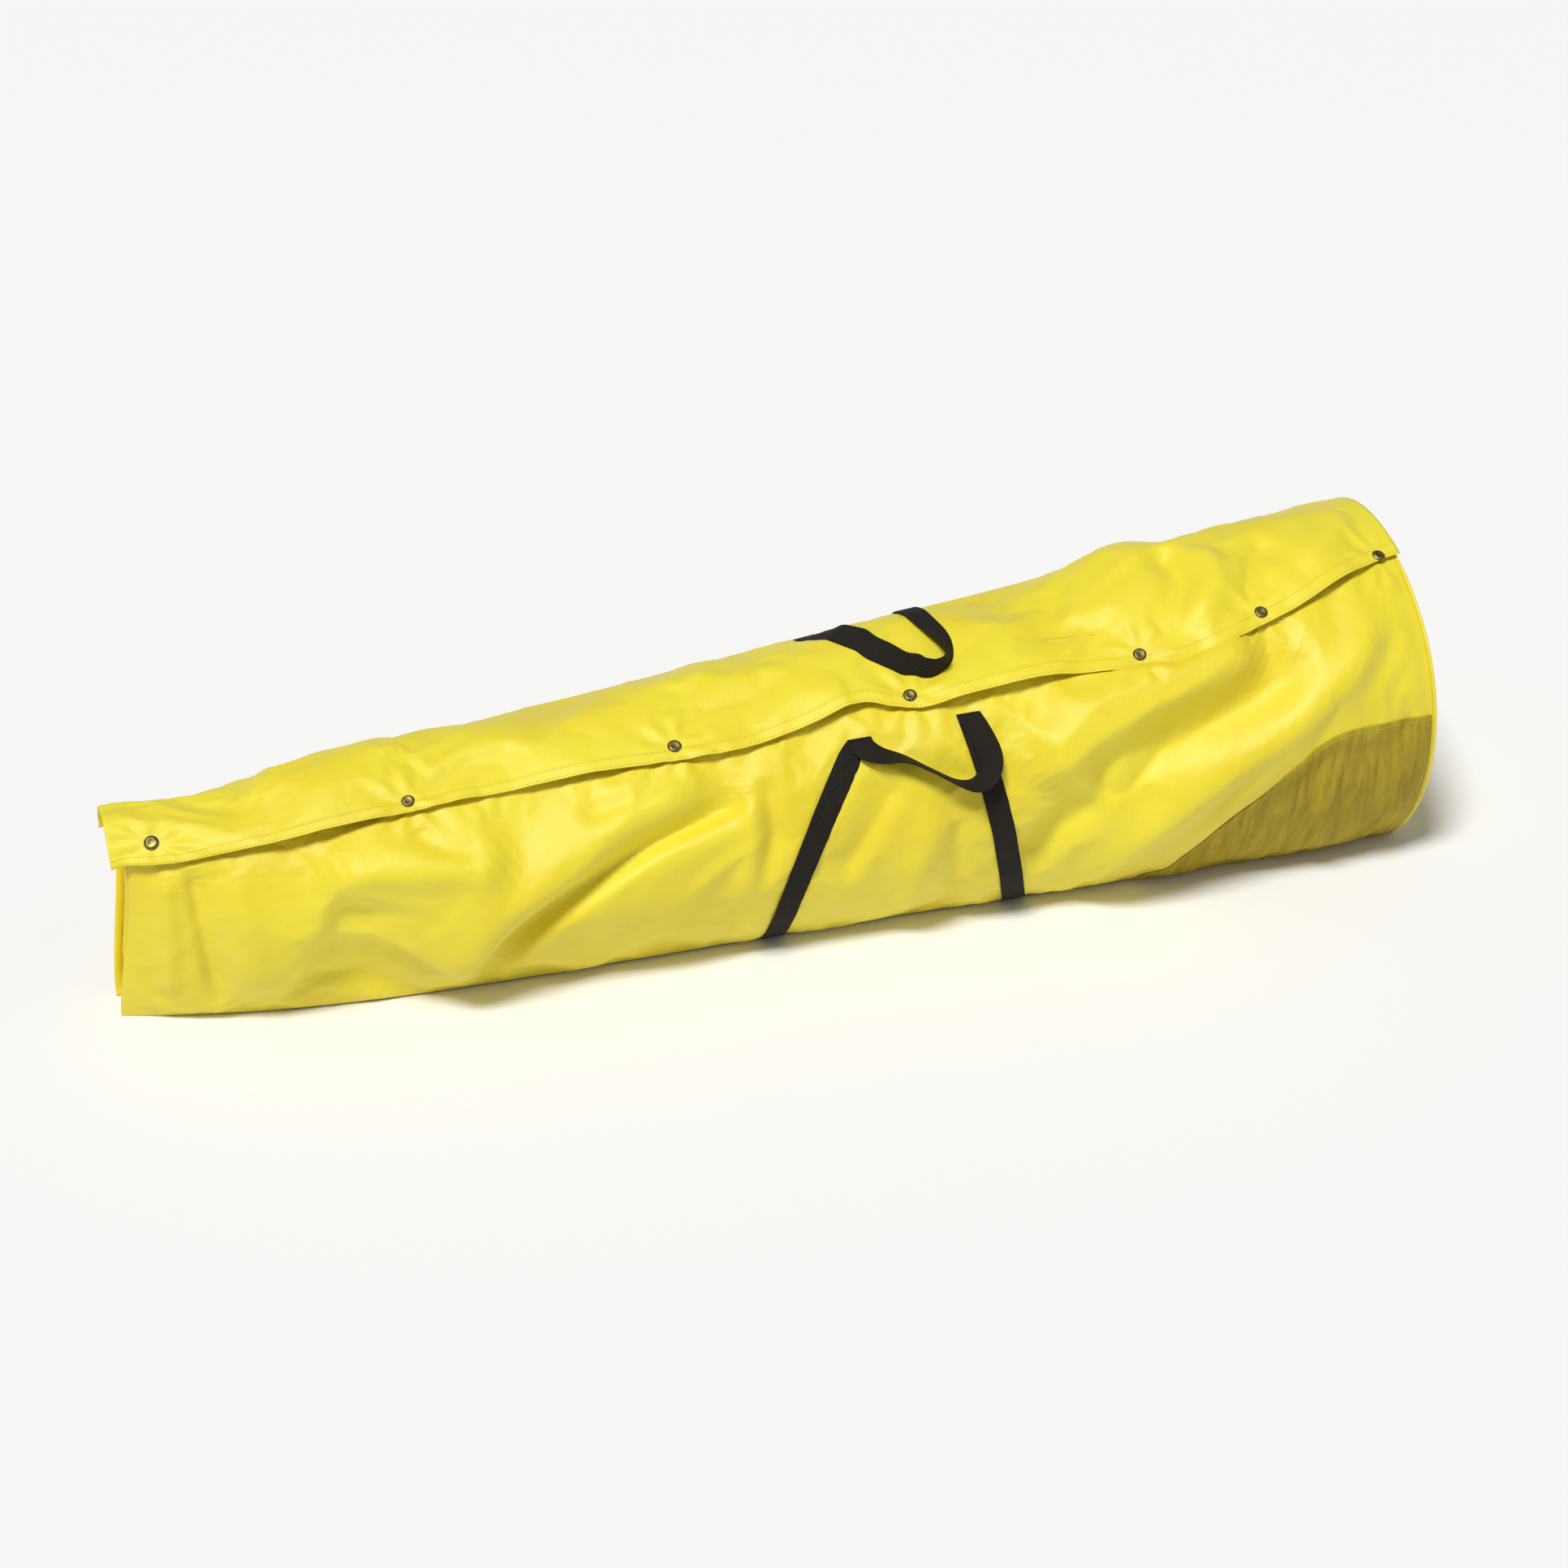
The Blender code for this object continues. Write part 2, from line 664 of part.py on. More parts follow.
def make_handle(name, stations):
    """A hand loop through (x, angle, turn, lift) stations. The first and last lie flat."""
    centres = [surface(x, angle, lift) for x, angle, _, lift in stations]
    swing = (centres[-1] - centres[0]).normalized()
    acrosses = []
    for i, (x, angle, turn, _) in enumerate(stations):
        ahead = centres[min(i + 1, len(centres) - 1)] - centres[max(i - 1, 0)]
        outward = outward_at(x, angle)
        flat = ahead.cross(outward).normalized()
        lean = math.radians(turn)
        acrosses.append(flat * math.cos(lean) + outward * math.sin(lean))
    acrosses[0] = math.copysign(1, acrosses[0].dot(swing)) * swing
    acrosses[-1] = math.copysign(1, acrosses[-1].dot(swing)) * swing
    return webbing_strip(name, centres, acrosses)


def over(turn, extra, under):
    """Height of a handle's middle so that its lower edge clears what lies under it."""
    edge = WEBBING_WIDTH / 2 * math.sin(math.radians(abs(turn)))
    return under + HANDLE_GAP + edge + WEBBING / 2 + extra


def front_handle_stations():
    """The front handle lies over the straps' upper ends and the front panel."""
    return [
        (x_at(share), math.radians(angle), turn, over(turn, extra, GAP + WEBBING))
        for share, angle, turn, extra in smooth_path(FRONT_HANDLE_PATH, 28)
    ]


def rear_handle_stations():
    """The rear handle lies over the flap."""
    made = []
    for share, ahead, turn, extra in smooth_path(REAR_HANDLE_PATH, 28):
        x = x_at(share)
        angle = angle_after(x, FOLD_ANGLE, -ahead)
        made.append((x, angle, turn, over(turn, extra, flap_lift(x, angle) + CLOTH)))
    return made


def handle_line(stations):
    """Where a handle's first end is."""
    x, angle, _, lift = stations[0]
    return surface(x, angle, lift)


# ---------------------------------------------------------------- packed kit


def pole_floor(x):
    """Height of the pole stack's underside. It lies on the base and, further on, on the rear hoop."""
    low, high = x_at(0) + POLE_NARROW_ROOM, x_at(REAR_HOOP_SHARE)
    start = CLOTH + GAP
    radius = hoop_radius(high) - HOOP_ROD
    rise = radius - math.sqrt(radius**2 - (2 * pole_spacing()) ** 2)
    end = start + 2 * HOOP_ROD + rise + GAP
    return start + (end - start) * (x - low) / (high - low)


def pole_point(x, y, stacked):
    """A point on a pole's centre line. The stacked one lies in the groove of the other two."""
    rise = math.sqrt((2 * POLE_RADIUS + GAP) ** 2 - pole_spacing() ** 2) if stacked else 0.0
    return Vector((x, y, pole_floor(x) + POLE_RADIUS + rise))


def pole_spacing():
    """Half the distance between the two lower poles."""
    return POLE_RADIUS + GAP


def make_pole_section(name, y, stacked):
    start, end = x_at(0) + POLE_NARROW_ROOM, x_at(1) - POLE_WIDE_ROOM
    a, b = pole_point(start, y, stacked), pole_point(end, y, stacked)
    length = (b - a).length
    inner = POLE_RADIUS - POLE_WALL
    profile = [(inner, length), (POLE_RADIUS, length), (POLE_RADIUS, 0), (inner, 0), (inner, length)]
    turned(name, profile, a, b - a, "pole_aluminium", POLE_SIDES)
    return a, b


def make_spigot(name, end, direction):
    """A plug in a tube's end: half of it inside, a shoulder on the rim, half standing out."""
    inside = (POLE_RADIUS - POLE_WALL) * math.cos(math.pi / POLE_SIDES) - FIT
    profile = [
        (0, SPIGOT_LENGTH),
        (inside - SPIGOT_CHAMFER, SPIGOT_LENGTH),
        (inside, SPIGOT_LENGTH - 2 * SPIGOT_CHAMFER),
        (inside, GAP + SPIGOT_SHOULDER),
        (POLE_RADIUS, GAP + SPIGOT_SHOULDER),
        (POLE_RADIUS, GAP),
        (inside, GAP),
        (inside, -SPIGOT_LENGTH),
        (0, -SPIGOT_LENGTH),
    ]
    turned(name, profile, end, direction, "frame_steel", POLE_SIDES)


def make_ground_spike(end, direction):
    inside = (POLE_RADIUS - POLE_WALL) * math.cos(math.pi / POLE_SIDES) - FIT
    profile = [
        (0, SPIKE_LENGTH),
        (SPIKE_TIP * SPIKE_RADIUS, SPIKE_LENGTH - RIM_BEVEL),
        (SPIKE_RADIUS, SPIKE_LENGTH * SPIKE_SHOULDER),
        (SPIKE_RADIUS, GAP + SPIGOT_SHOULDER),
        (POLE_RADIUS, GAP + SPIGOT_SHOULDER),
        (POLE_RADIUS, GAP),
        (inside, GAP),
        (inside, -SPIGOT_LENGTH / 2),
        (0, -SPIGOT_LENGTH / 2),
    ]
    turned("ground_spike", profile, end, direction, "frame_steel", POLE_SIDES)


def make_spindle(end, direction):
    """The pin at the pole's head that the windsock turns on, and the collar that spins on it."""
    inside = (POLE_RADIUS - POLE_WALL) * math.cos(math.pi / POLE_SIDES) - FIT
    seat = GAP + SPIGOT_SHOULDER
    neck = seat + COLLAR_LENGTH + 2 * GAP
    profile = [
        (0, neck + SPINDLE_CAP),
        (SPINDLE_HEAD - RIM_BEVEL, neck + SPINDLE_CAP),
        (SPINDLE_HEAD, neck + SPINDLE_CAP - RIM_BEVEL),
        (SPINDLE_HEAD, neck),
        (SPINDLE_RADIUS, neck),
        (SPINDLE_RADIUS, seat),
        (POLE_RADIUS, seat),
        (POLE_RADIUS, GAP),
        (inside, GAP),
        (inside, -SPIGOT_LENGTH / 2),
        (0, -SPIGOT_LENGTH / 2),
    ]
    turned("spindle", profile, end, direction, "frame_steel", POLE_SIDES)
    bore = (SPINDLE_RADIUS + GAP) / math.cos(math.pi / POLE_SIDES)
    collar = [
        (bore, COLLAR_LENGTH),
        (COLLAR_RADIUS - RIM_BEVEL, COLLAR_LENGTH),
        (COLLAR_RADIUS, COLLAR_LENGTH - RIM_BEVEL),
        (COLLAR_RADIUS, COLLAR_LIP_HEIGHT + RIM_BEVEL),
        (COLLAR_RADIUS + COLLAR_LIP, COLLAR_LIP_HEIGHT),
        (COLLAR_RADIUS + COLLAR_LIP, 0),
        (bore, 0),
        (bore, COLLAR_LENGTH),
    ]
    foot = end + direction.normalized() * (seat + GAP)
    turned("swivel_collar", collar, foot, direction, "frame_steel", POLE_SIDES)


def hoop_radius(x):
    """Centre-line radius of a hoop that stands inside the bag at x."""
    by_height = bag_height(x) / 2 - CLOTH - HOOP_ROD - HOOP_CLEARANCE
    by_depth = bag_depth(x) / 2 - CLOTH - HOOP_ROD - HOOP_CLEARANCE - 2 * SLEEVE_RADIUS
    return min(by_height, by_depth)


def hoop_centre(x):
    return Vector((x, 0, CLOTH + GAP + HOOP_ROD + hoop_radius(x)))


def make_hoop(name, x):
    bpy.ops.mesh.primitive_torus_add(
        major_segments=HOOP_SEGMENTS,
        minor_segments=8,
        major_radius=hoop_radius(x),
        minor_radius=HOOP_ROD,
        location=hoop_centre(x),
        rotation=(0, math.pi / 2, 0),
    )
    hoop = bpy.context.object
    hoop.name = name
    hoop.data.name = name
    hoop.data.materials.append(material("frame_steel"))
    hoop.data.shade_smooth()
    return hoop


def make_stays(mouth, rear):
    """Straight rods inside the two hoops that hold them apart."""
    for number, degrees in enumerate(STAY_ANGLES, 1):
        angle = math.radians(degrees)
        towards = Vector((0, math.cos(angle), math.sin(angle)))
        flat = math.cos(math.pi / HOOP_SEGMENTS)
        ends = []
        for x, beyond in ((rear, -HOOP_ROD), (mouth, HOOP_ROD)):
            reach = hoop_radius(x) * flat - HOOP_ROD - STAY_ROD - GAP
            ends.append(hoop_centre(x) + towards * reach + Vector((beyond, 0, 0)))
        rod(f"frame_stay_{number}", ends[0], ends[1], STAY_ROD, "frame_steel", sides=8)


def make_pivot_sleeve(mouth):
    """The upright tube beside the mouth hoop, which turns on the pole's spindle."""
    centre = hoop_centre(mouth)
    y = hoop_radius(mouth) + HOOP_ROD + GAP + SLEEVE_RADIUS
    foot = Vector((mouth, y, centre.z - SLEEVE_LENGTH / 2))
    profile = [
        (SLEEVE_BORE, SLEEVE_LENGTH),
        (SLEEVE_RADIUS, SLEEVE_LENGTH),
        (SLEEVE_RADIUS, 0),
        (SLEEVE_BORE, 0),
        (SLEEVE_BORE, SLEEVE_LENGTH),
    ]
    turned("pivot_sleeve", profile, foot, (0, 0, 1), "frame_steel", 12)


def bundle_ring(share):
    """One ring of the gathered cloth: flat on the poles, round above, narrowing to its tail."""
    first, last = x_at(BUNDLE_TAIL), x_at(REAR_HOOP_SHARE) - HOOP_ROD - GAP
    x = first + (last - first) * share
    swell = BUNDLE_TAIL_SIZE + (1 - BUNDLE_TAIL_SIZE) * math.sqrt(1 - (1 - share) ** 5)
    floor = pole_point(x, 0, True).z + POLE_RADIUS + GAP
    tall = (bag_height(x) - BUNDLE_TOP_ROOM - floor) * swell
    half = (bag_depth(x) / 2 - BUNDLE_SIDE_ROOM) * swell
    ring = []
    for k in range(BUNDLE_SIDES):
        angle = 2 * math.pi * k / BUNDLE_SIDES
        rise = max(0.0, 1 + BUNDLE_SAG * math.sin(angle)) / (1 + BUNDLE_SAG)
        ring.append(Vector((x, half * math.cos(angle), floor + tall * rise)))
    return ring


def make_bundle():
    """The windsock's cloth, gathered behind its hoops and laid over the poles."""
    rows = [bundle_ring(share) for share in np.linspace(0, 1, 13)]
    points = [p for row in rows for p in row]
    sides = BUNDLE_SIDES
    faces = [
        (i * sides + k, i * sides + (k + 1) % sides, (i + 1) * sides + (k + 1) % sides, (i + 1) * sides + k)
        for i in range(len(rows) - 1)
        for k in range(sides)
    ]
    faces.append(tuple(range(sides)))
    faces.append(tuple((len(rows) - 1) * sides + k for k in range(sides)))
    mesh = mesh_from("windsock_cloth", points, faces)
    shape = bmesh.new()
    shape.from_mesh(mesh)
    bmesh.ops.recalc_face_normals(shape, faces=shape.faces)
    shape.to_mesh(mesh)
    shape.free()
    add_object("windsock_cloth", mesh, "windsock_cloth").data.shade_smooth()


def empty_at(name, location):
    empty = bpy.data.objects.new(name, None)
    empty.location = location
    bpy.context.scene.collection.objects.link(empty)
    return empty


def hang(obj, pivot):
    """Parents obj to a pivot empty without moving it."""
    obj.parent = pivot
    obj.matrix_parent_inverse = pivot.matrix_world.inverted()


def main():
    clear_scene()
    fold = empty_at("fold_line", surface(0, FOLD_ANGLE, FOLD_LIFT + CLOTH / 2))
    front_pivot = empty_at("front_handle_line", handle_line(front_handle_stations()))
    rear_pivot = empty_at("rear_handle_line", handle_line(rear_handle_stations()))
    bpy.context.view_layer.update()

    make_front_panel()
    make_back_panel()
    make_base_panel()
    make_end_panel("narrow_end_panel", -BAG_LENGTH / 2 + NARROW_END_RECESS, 0, -1)
    make_end_panel("wide_end_panel", BAG_LENGTH / 2, WIDE_END_BULGE, 1)
    make_corner_patch()
    hang(make_flap(), fold)
    for number, x in enumerate(snap_places(), 1):
        make_snap(number, x)
        hang(bpy.data.objects[f"snap_cap_{number}"], fold)
    make_strap("strap_left", STRAP_LEFT)
    make_strap("strap_right", STRAP_RIGHT)
    hang(make_handle("front_handle", front_handle_stations()), front_pivot)
    hang(make_handle("rear_handle", rear_handle_stations()), rear_pivot)

    spacing = pole_spacing()
    lower = make_pole_section("pole_lower", -spacing, False)
    middle = make_pole_section("pole_middle", spacing, False)
    upper = make_pole_section("pole_upper", 0.0, True)
    make_ground_spike(lower[0], lower[0] - lower[1])
    make_spigot("spigot_lower", lower[1], lower[1] - lower[0])
    make_spigot("spigot_middle", middle[1], middle[1] - middle[0])
    make_spindle(upper[1], upper[1] - upper[0])

    mouth, rear = x_at(MOUTH_HOOP_SHARE), x_at(REAR_HOOP_SHARE)
    make_hoop("throat_hoop", mouth)
    make_hoop("rear_hoop", rear)
    make_stays(mouth, rear)
    make_pivot_sleeve(mouth)
    make_bundle()


main()
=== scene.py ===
"""Looks of the windsock kit in its carrying bag: glossy coated cloth, webbing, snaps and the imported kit.

The bag lies along X: narrow end at -X, wide end at +X, front face towards -Y. A place on its cloth is
an x and an angle round the section: 0 is the front, 90 the top and 180 the back.
"""

import json
import math

import bmesh
import bpy
import numpy as np
from mathutils import Matrix, Vector


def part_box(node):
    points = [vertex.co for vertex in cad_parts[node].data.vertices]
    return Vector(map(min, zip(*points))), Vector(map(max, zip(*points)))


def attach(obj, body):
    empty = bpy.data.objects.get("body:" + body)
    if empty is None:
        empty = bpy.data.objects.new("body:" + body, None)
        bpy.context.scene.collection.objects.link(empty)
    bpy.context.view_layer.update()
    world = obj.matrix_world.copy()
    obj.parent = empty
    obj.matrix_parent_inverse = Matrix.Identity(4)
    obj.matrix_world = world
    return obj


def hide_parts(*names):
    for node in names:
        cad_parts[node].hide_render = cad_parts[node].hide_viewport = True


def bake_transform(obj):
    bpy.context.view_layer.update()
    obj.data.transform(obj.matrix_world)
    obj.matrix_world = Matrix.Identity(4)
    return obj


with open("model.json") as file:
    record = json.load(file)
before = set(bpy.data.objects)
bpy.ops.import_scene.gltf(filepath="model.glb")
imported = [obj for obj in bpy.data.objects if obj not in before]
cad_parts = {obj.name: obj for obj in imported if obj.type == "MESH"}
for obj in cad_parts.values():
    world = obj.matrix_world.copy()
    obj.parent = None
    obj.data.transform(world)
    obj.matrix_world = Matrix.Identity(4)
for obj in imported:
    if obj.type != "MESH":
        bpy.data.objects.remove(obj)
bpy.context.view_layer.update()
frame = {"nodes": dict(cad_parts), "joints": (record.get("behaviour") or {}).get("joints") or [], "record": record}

# -------- the bag's shape, as in the design

LOW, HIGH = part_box("front_panel")
BAG_LENGTH = HIGH.x - LOW.x
NARROW_HEIGHT, WIDE_HEIGHT = 0.226, 0.326
NARROW_DEPTH, WIDE_DEPTH = 0.060, 0.362
HEIGHTS = [(0.00, 0.00), (0.04, -0.06), (0.10, -0.04), (0.20, 0.10), (0.35, 0.20), (0.50, 0.34),
           (0.65, 0.58), (0.80, 0.84), (0.92, 1.00), (1.00, 0.92)]
DEPTHS = [(0.00, 0.00), (0.04, 0.20), (0.10, 0.43), (0.20, 0.61), (0.35, 0.70), (0.50, 0.76),
          (0.65, 0.85), (0.80, 0.95), (0.92, 1.00), (1.00, 0.94)]
BELLY_SHARE = 0.46
BASE_ANGLE = math.radians(52)
FOLD_ANGLE = math.radians(128)
FOLD_STATIONS = (0.15, 0.90)
GIRTH_RADIUS = 0.15  # turns an angle round the bag into a rough distance

CLOTH = 0.0012
FRAME_CLOTH = 0.0020
FLAP_LIFT = 0.0035
SNAP_OUT = FLAP_LIFT + FRAME_CLOTH
WEBBING = 0.0016
WEBBING_WIDTH = 0.025
STRAP_GAP = 0.0004
PATCH_LIFT = 0.0016
PIPING_RADIUS = 0.0019
TUCK_REACH = 0.050
TUCK_RAMP = 0.015

# The flap's free edge: x and angle
FLAP_EDGE = [(-0.700, 40.0), (-0.648, 44.5), (-0.571, 51.5), (-0.489, 54.5), (-0.411, 56.0), (-0.326, 57.5),
             (-0.242, 57.5), (-0.160, 56.5), (-0.074, 55.0), (0.015, 58.5), (0.068, 62.0), (0.105, 57.5),
             (0.140, 54.5), (0.213, 55.0), (0.275, 54.5), (0.360, 50.0), (0.403, 48.5), (0.450, 50.5),
             (0.499, 54.5), (0.550, 58.5), (0.605, 65.0), (0.662, 71.0), (0.700, 73.0)]
HEM = 0.014

STRAP_LEFT = {"base": 0.476, "top": 0.543, "bow": 1.35}
STRAP_RIGHT = {"base": 0.673, "top": 0.628, "bow": -0.5}
STRAP_FRONT_TOP = math.radians(49.5)
STRAP_BACK_TOP = math.radians(133)
HANDLE_FOOT = (math.radians(38), math.radians(43))  # the front hand loop lies over the straps above this

# Hand loops: share of the length, angle (or distance ahead of the fold), and turn of the webbing from
# flat to on edge. The front one also has a height over what it lies on
FRONT_HANDLE = [(0.543, 48.0, 0, 0.0), (0.545, 44.5, 8, 0.0), (0.554, 40.5, 35, 0.0), (0.571, 37.0, 65, 0.0),
                (0.589, 31.0, 78, 0.0), (0.608, 24.5, 78, 0.0), (0.622, 22.5, 60, 0.0005),
                (0.633, 25.5, 35, 0.0005), (0.637, 32.0, 10, 0.0005), (0.633, 41.0, 2, 0.0),
                (0.628, 48.0, 0, 0.0)]
REAR_HANDLE = [(0.543, 0.012, 0), (0.548, 0.040, -8), (0.557, 0.078, -22), (0.572, 0.112, -40),
               (0.590, 0.143, -55), (0.608, 0.160, -75), (0.620, 0.160, -88), (0.626, 0.146, -62),
               (0.626, 0.118, -24), (0.622, 0.080, -8), (0.622, 0.040, -2), (0.622, 0.012, 0)]
HANDLE_GAP = 0.0006

# Folds in the front cloth: how far the cloth stands out (or in), the fold's reach on its left and right
# side, and the (x, angle) points it runs through, in millimetres and degrees
FRONT_FOLDS = [
    (-21, 26, 10, [(-350, -46), (-315, -15.5), (-264, 1), (-177, 21.5), (-100, 31), (-40, 40)]),
    (16, 45, 26, [(-405, -46), (-372, -18), (-315, 6), (-235, 24), (-150, 37), (-80, 46)]),
    (20, 34, 24, [(-520, 34), (-440, 31), (-375, 28), (-300, 24)]),
    (-13, 18, 60, [(-545, -46), (-515, -22), (-485, 8), (-470, 24)]),
    (-19, 50, 55, [(-475, -44), (-450, -26), (-420, -8)]),
    (-10, 16, 8, [(-625, 44), (-617, 10), (-598, -40)]),
    (6, 10, 12, [(-652, 42), (-648, 5), (-640, -40)]),
    (4, 14, 24, [(-585, 42), (-578, 10), (-566, -30)]),
    (6, 16, 12, [(-70, 46), (-66, 20), (-85, -15)]),
    (-5.5, 10, 12, [(-46, 44), (-44, 22), (-62, -8)]),
    (-9, 12, 24, [(96, 33), (58, 12), (22, -12)]),
    (7, 20, 20, [(132, 20), (110, -8), (100, -38)]),
    (-4, 12, 10, [(152, 16), (150, -10), (160, -40)]),
    (-17, 34, 16, [(225, -26), (262, -6), (300, 8)]),
    (-20, 36, 21, [(285, 3), (335, 14), (410, 24), (490, 32), (560, 43)]),
    (23, 40, 24, [(222, 14), (275, 28), (360, 38), (450, 44), (510, 50)]),
    (15, 24, 18, [(265, -42), (330, -18), (420, 3), (518, 20), (600, 38), (660, 58)]),
    (-8, 16, 40, [(400, -40), (460, -18), (520, -4), (590, 4), (670, 4)]),
    (4, 12, 12, [(560, 8), (566, -20), (570, -44)]),
    (-5, 12, 12, [(-405, 50), (-385, 38), (-330, 32)]),
    (-6, 12, 14, [(-128, 55), (-180, 44), (-250, 40)]),
    (4.5, 14, 14, [(250, 50), (300, 42), (400, 40), (500, 48)]),
]
# Folds in the flap, in the same way
FLAP_FOLDS = [
    (-11, 20, 12, [(385, 60), (420, 70), (440, 84), (430, 104)]),
    (9, 18, 16, [(420, 58), (470, 74), (480, 96)]),
    (-8, 12, 18, [(507, 62), (520, 78), (560, 90)]),
    (-6, 40, 40, [(240, 118), (270, 96), (310, 76)]),
    (8, 50, 50, [(400, 122), (410, 104), (420, 90)]),
    (-4, 14, 14, [(367, 60), (330, 70), (270, 76)]),
    (-5, 16, 12, [(-128, 64), (-70, 76), (10, 84)]),
    (4.5, 18, 18, [(-50, 62), (20, 70), (66, 70)]),
    (-4.5, 12, 18, [(-405, 63), (-350, 72), (-270, 78)]),
    (6, 60, 60, [(-560, 110), (-480, 100), (-380, 96)]),
    (-5, 25, 25, [(-640, 100), (-600, 86), (-540, 76)]),
    (-4, 12, 12, [(123, 66), (180, 74), (250, 88)]),
    (7, 16, 16, [(560, 72), (620, 84), (660, 100)]),
]
# Slow swells in the top's outline: x and height
TOP_SWELLS = [(-0.70, 0.0), (-0.60, -0.003), (-0.47, 0.005), (-0.30, 0.001), (0.0, 0.0), (0.20, -0.004),
              (0.30, -0.007), (0.41, 0.007), (0.52, 0.003), (0.62, 0.002), (0.70, 0.0)]


def smooth(points, at):
    """Values at these places on a smooth curve through (place, value) points that never overshoots."""
    xs, ys = np.array(points, float).T
    at = np.clip(at, xs[0], xs[-1])
    steps = np.diff(xs)
    slopes = np.diff(ys) / steps
    tangents = np.concatenate([[slopes[0]], (slopes[1:] + slopes[:-1]) / 2, [slopes[-1]]])
    tangents[1:-1][slopes[1:] * slopes[:-1] <= 0] = 0
    i = np.clip(np.searchsorted(xs, at) - 1, 0, len(steps) - 1)
    t = (at - xs[i]) / steps[i]
    rise = t * (1 - t) ** 2 * tangents[i] - t * t * (1 - t) * tangents[i + 1]
    return ys[i] + t * t * (3 - 2 * t) * (ys[i + 1] - ys[i]) + rise * steps[i]


def step(low, high, value):
    """Rises smoothly from 0 at low to 1 at high."""
    t = np.clip((value - low) / (high - low), 0, 1)
    return t * t * (3 - 2 * t)


def x_at(share):
    return (share - 0.5) * BAG_LENGTH


def along_bag(count):
    return np.linspace(-BAG_LENGTH / 2, BAG_LENGTH / 2, count)


def bag_height(x):
    return NARROW_HEIGHT + smooth(HEIGHTS, x / BAG_LENGTH + 0.5) * (WIDE_HEIGHT - NARROW_HEIGHT)


def bag_depth(x):
    return NARROW_DEPTH + smooth(DEPTHS, x / BAG_LENGTH + 0.5) * (WIDE_DEPTH - NARROW_DEPTH)


def plain_section(x, angle):
    height = bag_height(x)
    belly = BELLY_SHARE * height
    reach = np.where(np.sin(angle) > 0, height - belly, belly / math.sin(BASE_ANGLE))
    return -bag_depth(x) / 2 * np.cos(angle), belly + reach * np.sin(angle)


def fold_line(x):
    first, second = (x_at(share) for share in FOLD_STATIONS)
    a, b = (np.array(plain_section(at, FOLD_ANGLE)) for at in (first, second))
    share = (x - first) / (second - first)
    return a[0] + (b[0] - a[0]) * share, a[1] + (b[1] - a[1]) * share


def tuck(x):
    """How far the cloth is lifted over the webbing under the bag, from 0 to 1."""
    most = np.zeros_like(x)
    for strap in (STRAP_LEFT, STRAP_RIGHT):
        beside = np.abs(x - x_at(strap["base"])) - WEBBING_WIDTH / 2 - 2 * STRAP_GAP
        most = np.maximum(most, np.minimum(1, 1 - beside / TUCK_RAMP))
    return most


def section(x, angle):
    y, z = plain_section(x, angle)
    fold_y, fold_z = fold_line(x)
    base_y, base_z = plain_section(x, FOLD_ANGLE)
    ease = np.maximum(0, np.cos(angle - FOLD_ANGLE)) ** 2
    y = y + ease * (fold_y - base_y)
    z = z + ease * (fold_z - base_z)
    lift = (WEBBING + 2 * STRAP_GAP) * tuck(x) * np.maximum(0, 1 - z / TUCK_REACH)
    return y, z + lift


def end_lean(x, z):
    """How far the narrow end's foot slumps outwards."""
    return -0.022 * step(0.50, 0.685, -x) * (1 - step(0.0, 0.17, z))


def skin(x, angle, out=0.0):
    """Points on the bag's outside, moved outwards by out."""
    x, angle, out = np.broadcast_arrays(*(np.asarray(value, float) for value in (x, angle, out)))
    y, z = section(x, angle)
    y0, z0 = section(x, angle - 1e-3)
    y1, z1 = section(x, angle + 1e-3)
    long = np.hypot(y1 - y0, z1 - z0)
    y, z = y - out * (z1 - z0) / long, z + out * (y1 - y0) / long
    return np.stack([x + end_lean(x, z), y, z], axis=-1)


def skin_normal(x, angle):
    h = 1e-3
    along = skin(x + h, angle) - skin(x - h, angle)
    around = skin(x, angle + h) - skin(x, angle - h)
    return unit(np.cross(along, around))


def angle_after(x, angle, distance):
    """The angle this far along the section, towards the back when distance is positive."""
    turn = math.copysign(math.radians(0.5), distance)
    left, here = abs(distance), skin(x, angle)
    while True:
        there = skin(x, angle + turn)
        run = float(np.linalg.norm(there - here))
        if run >= left:
            return angle + turn * left / run
        angle, here, left = angle + turn, there, left - run


def flap_edge(x):
    return np.radians(smooth(FLAP_EDGE, x))


# -------- folds and creases


def lattice_noise(u, v, seed):
    """Smooth random values from -1 to 1, with about one swell in each unit of u and v."""
    values = np.random.default_rng(seed).uniform(-1, 1, (97, 97))
    i, j = np.floor(u).astype(int), np.floor(v).astype(int)
    s, t = u - i, v - j
    s, t = s * s * (3 - 2 * s), t * t * (3 - 2 * t)
    corner = lambda a, b: values[(i + a) % 97, (j + b) % 97]
    low = corner(0, 0) * (1 - s) + corner(1, 0) * s
    high = corner(0, 1) * (1 - s) + corner(1, 1) * s
    return low * (1 - t) + high * t


def crumple(x, angle, seed):
    """Small creases of coated cloth, drawn out along the diagonal pull of the bag, in metres."""
    s = angle * GIRTH_RADIUS
    u, v = x * 0.80 + s * 0.60, s * 0.80 - x * 0.60
    warp = 0.5 * lattice_noise(u * 9 + 31, v * 9 + 17, seed + 1)
    broad = 1 - np.abs(lattice_noise(u * 5 + warp + 40, v * 12 + warp + 40, seed + 2)) * 2
    fine = 1 - np.abs(lattice_noise(u * 14 + warp + 60, v * 30 + warp + 60, seed + 3)) * 2
    tiny = lattice_noise(u * 60 + 80, v * 90 + 80, seed + 4)
    return 0.0017 * broad + 0.0007 * fine + 0.00015 * tiny


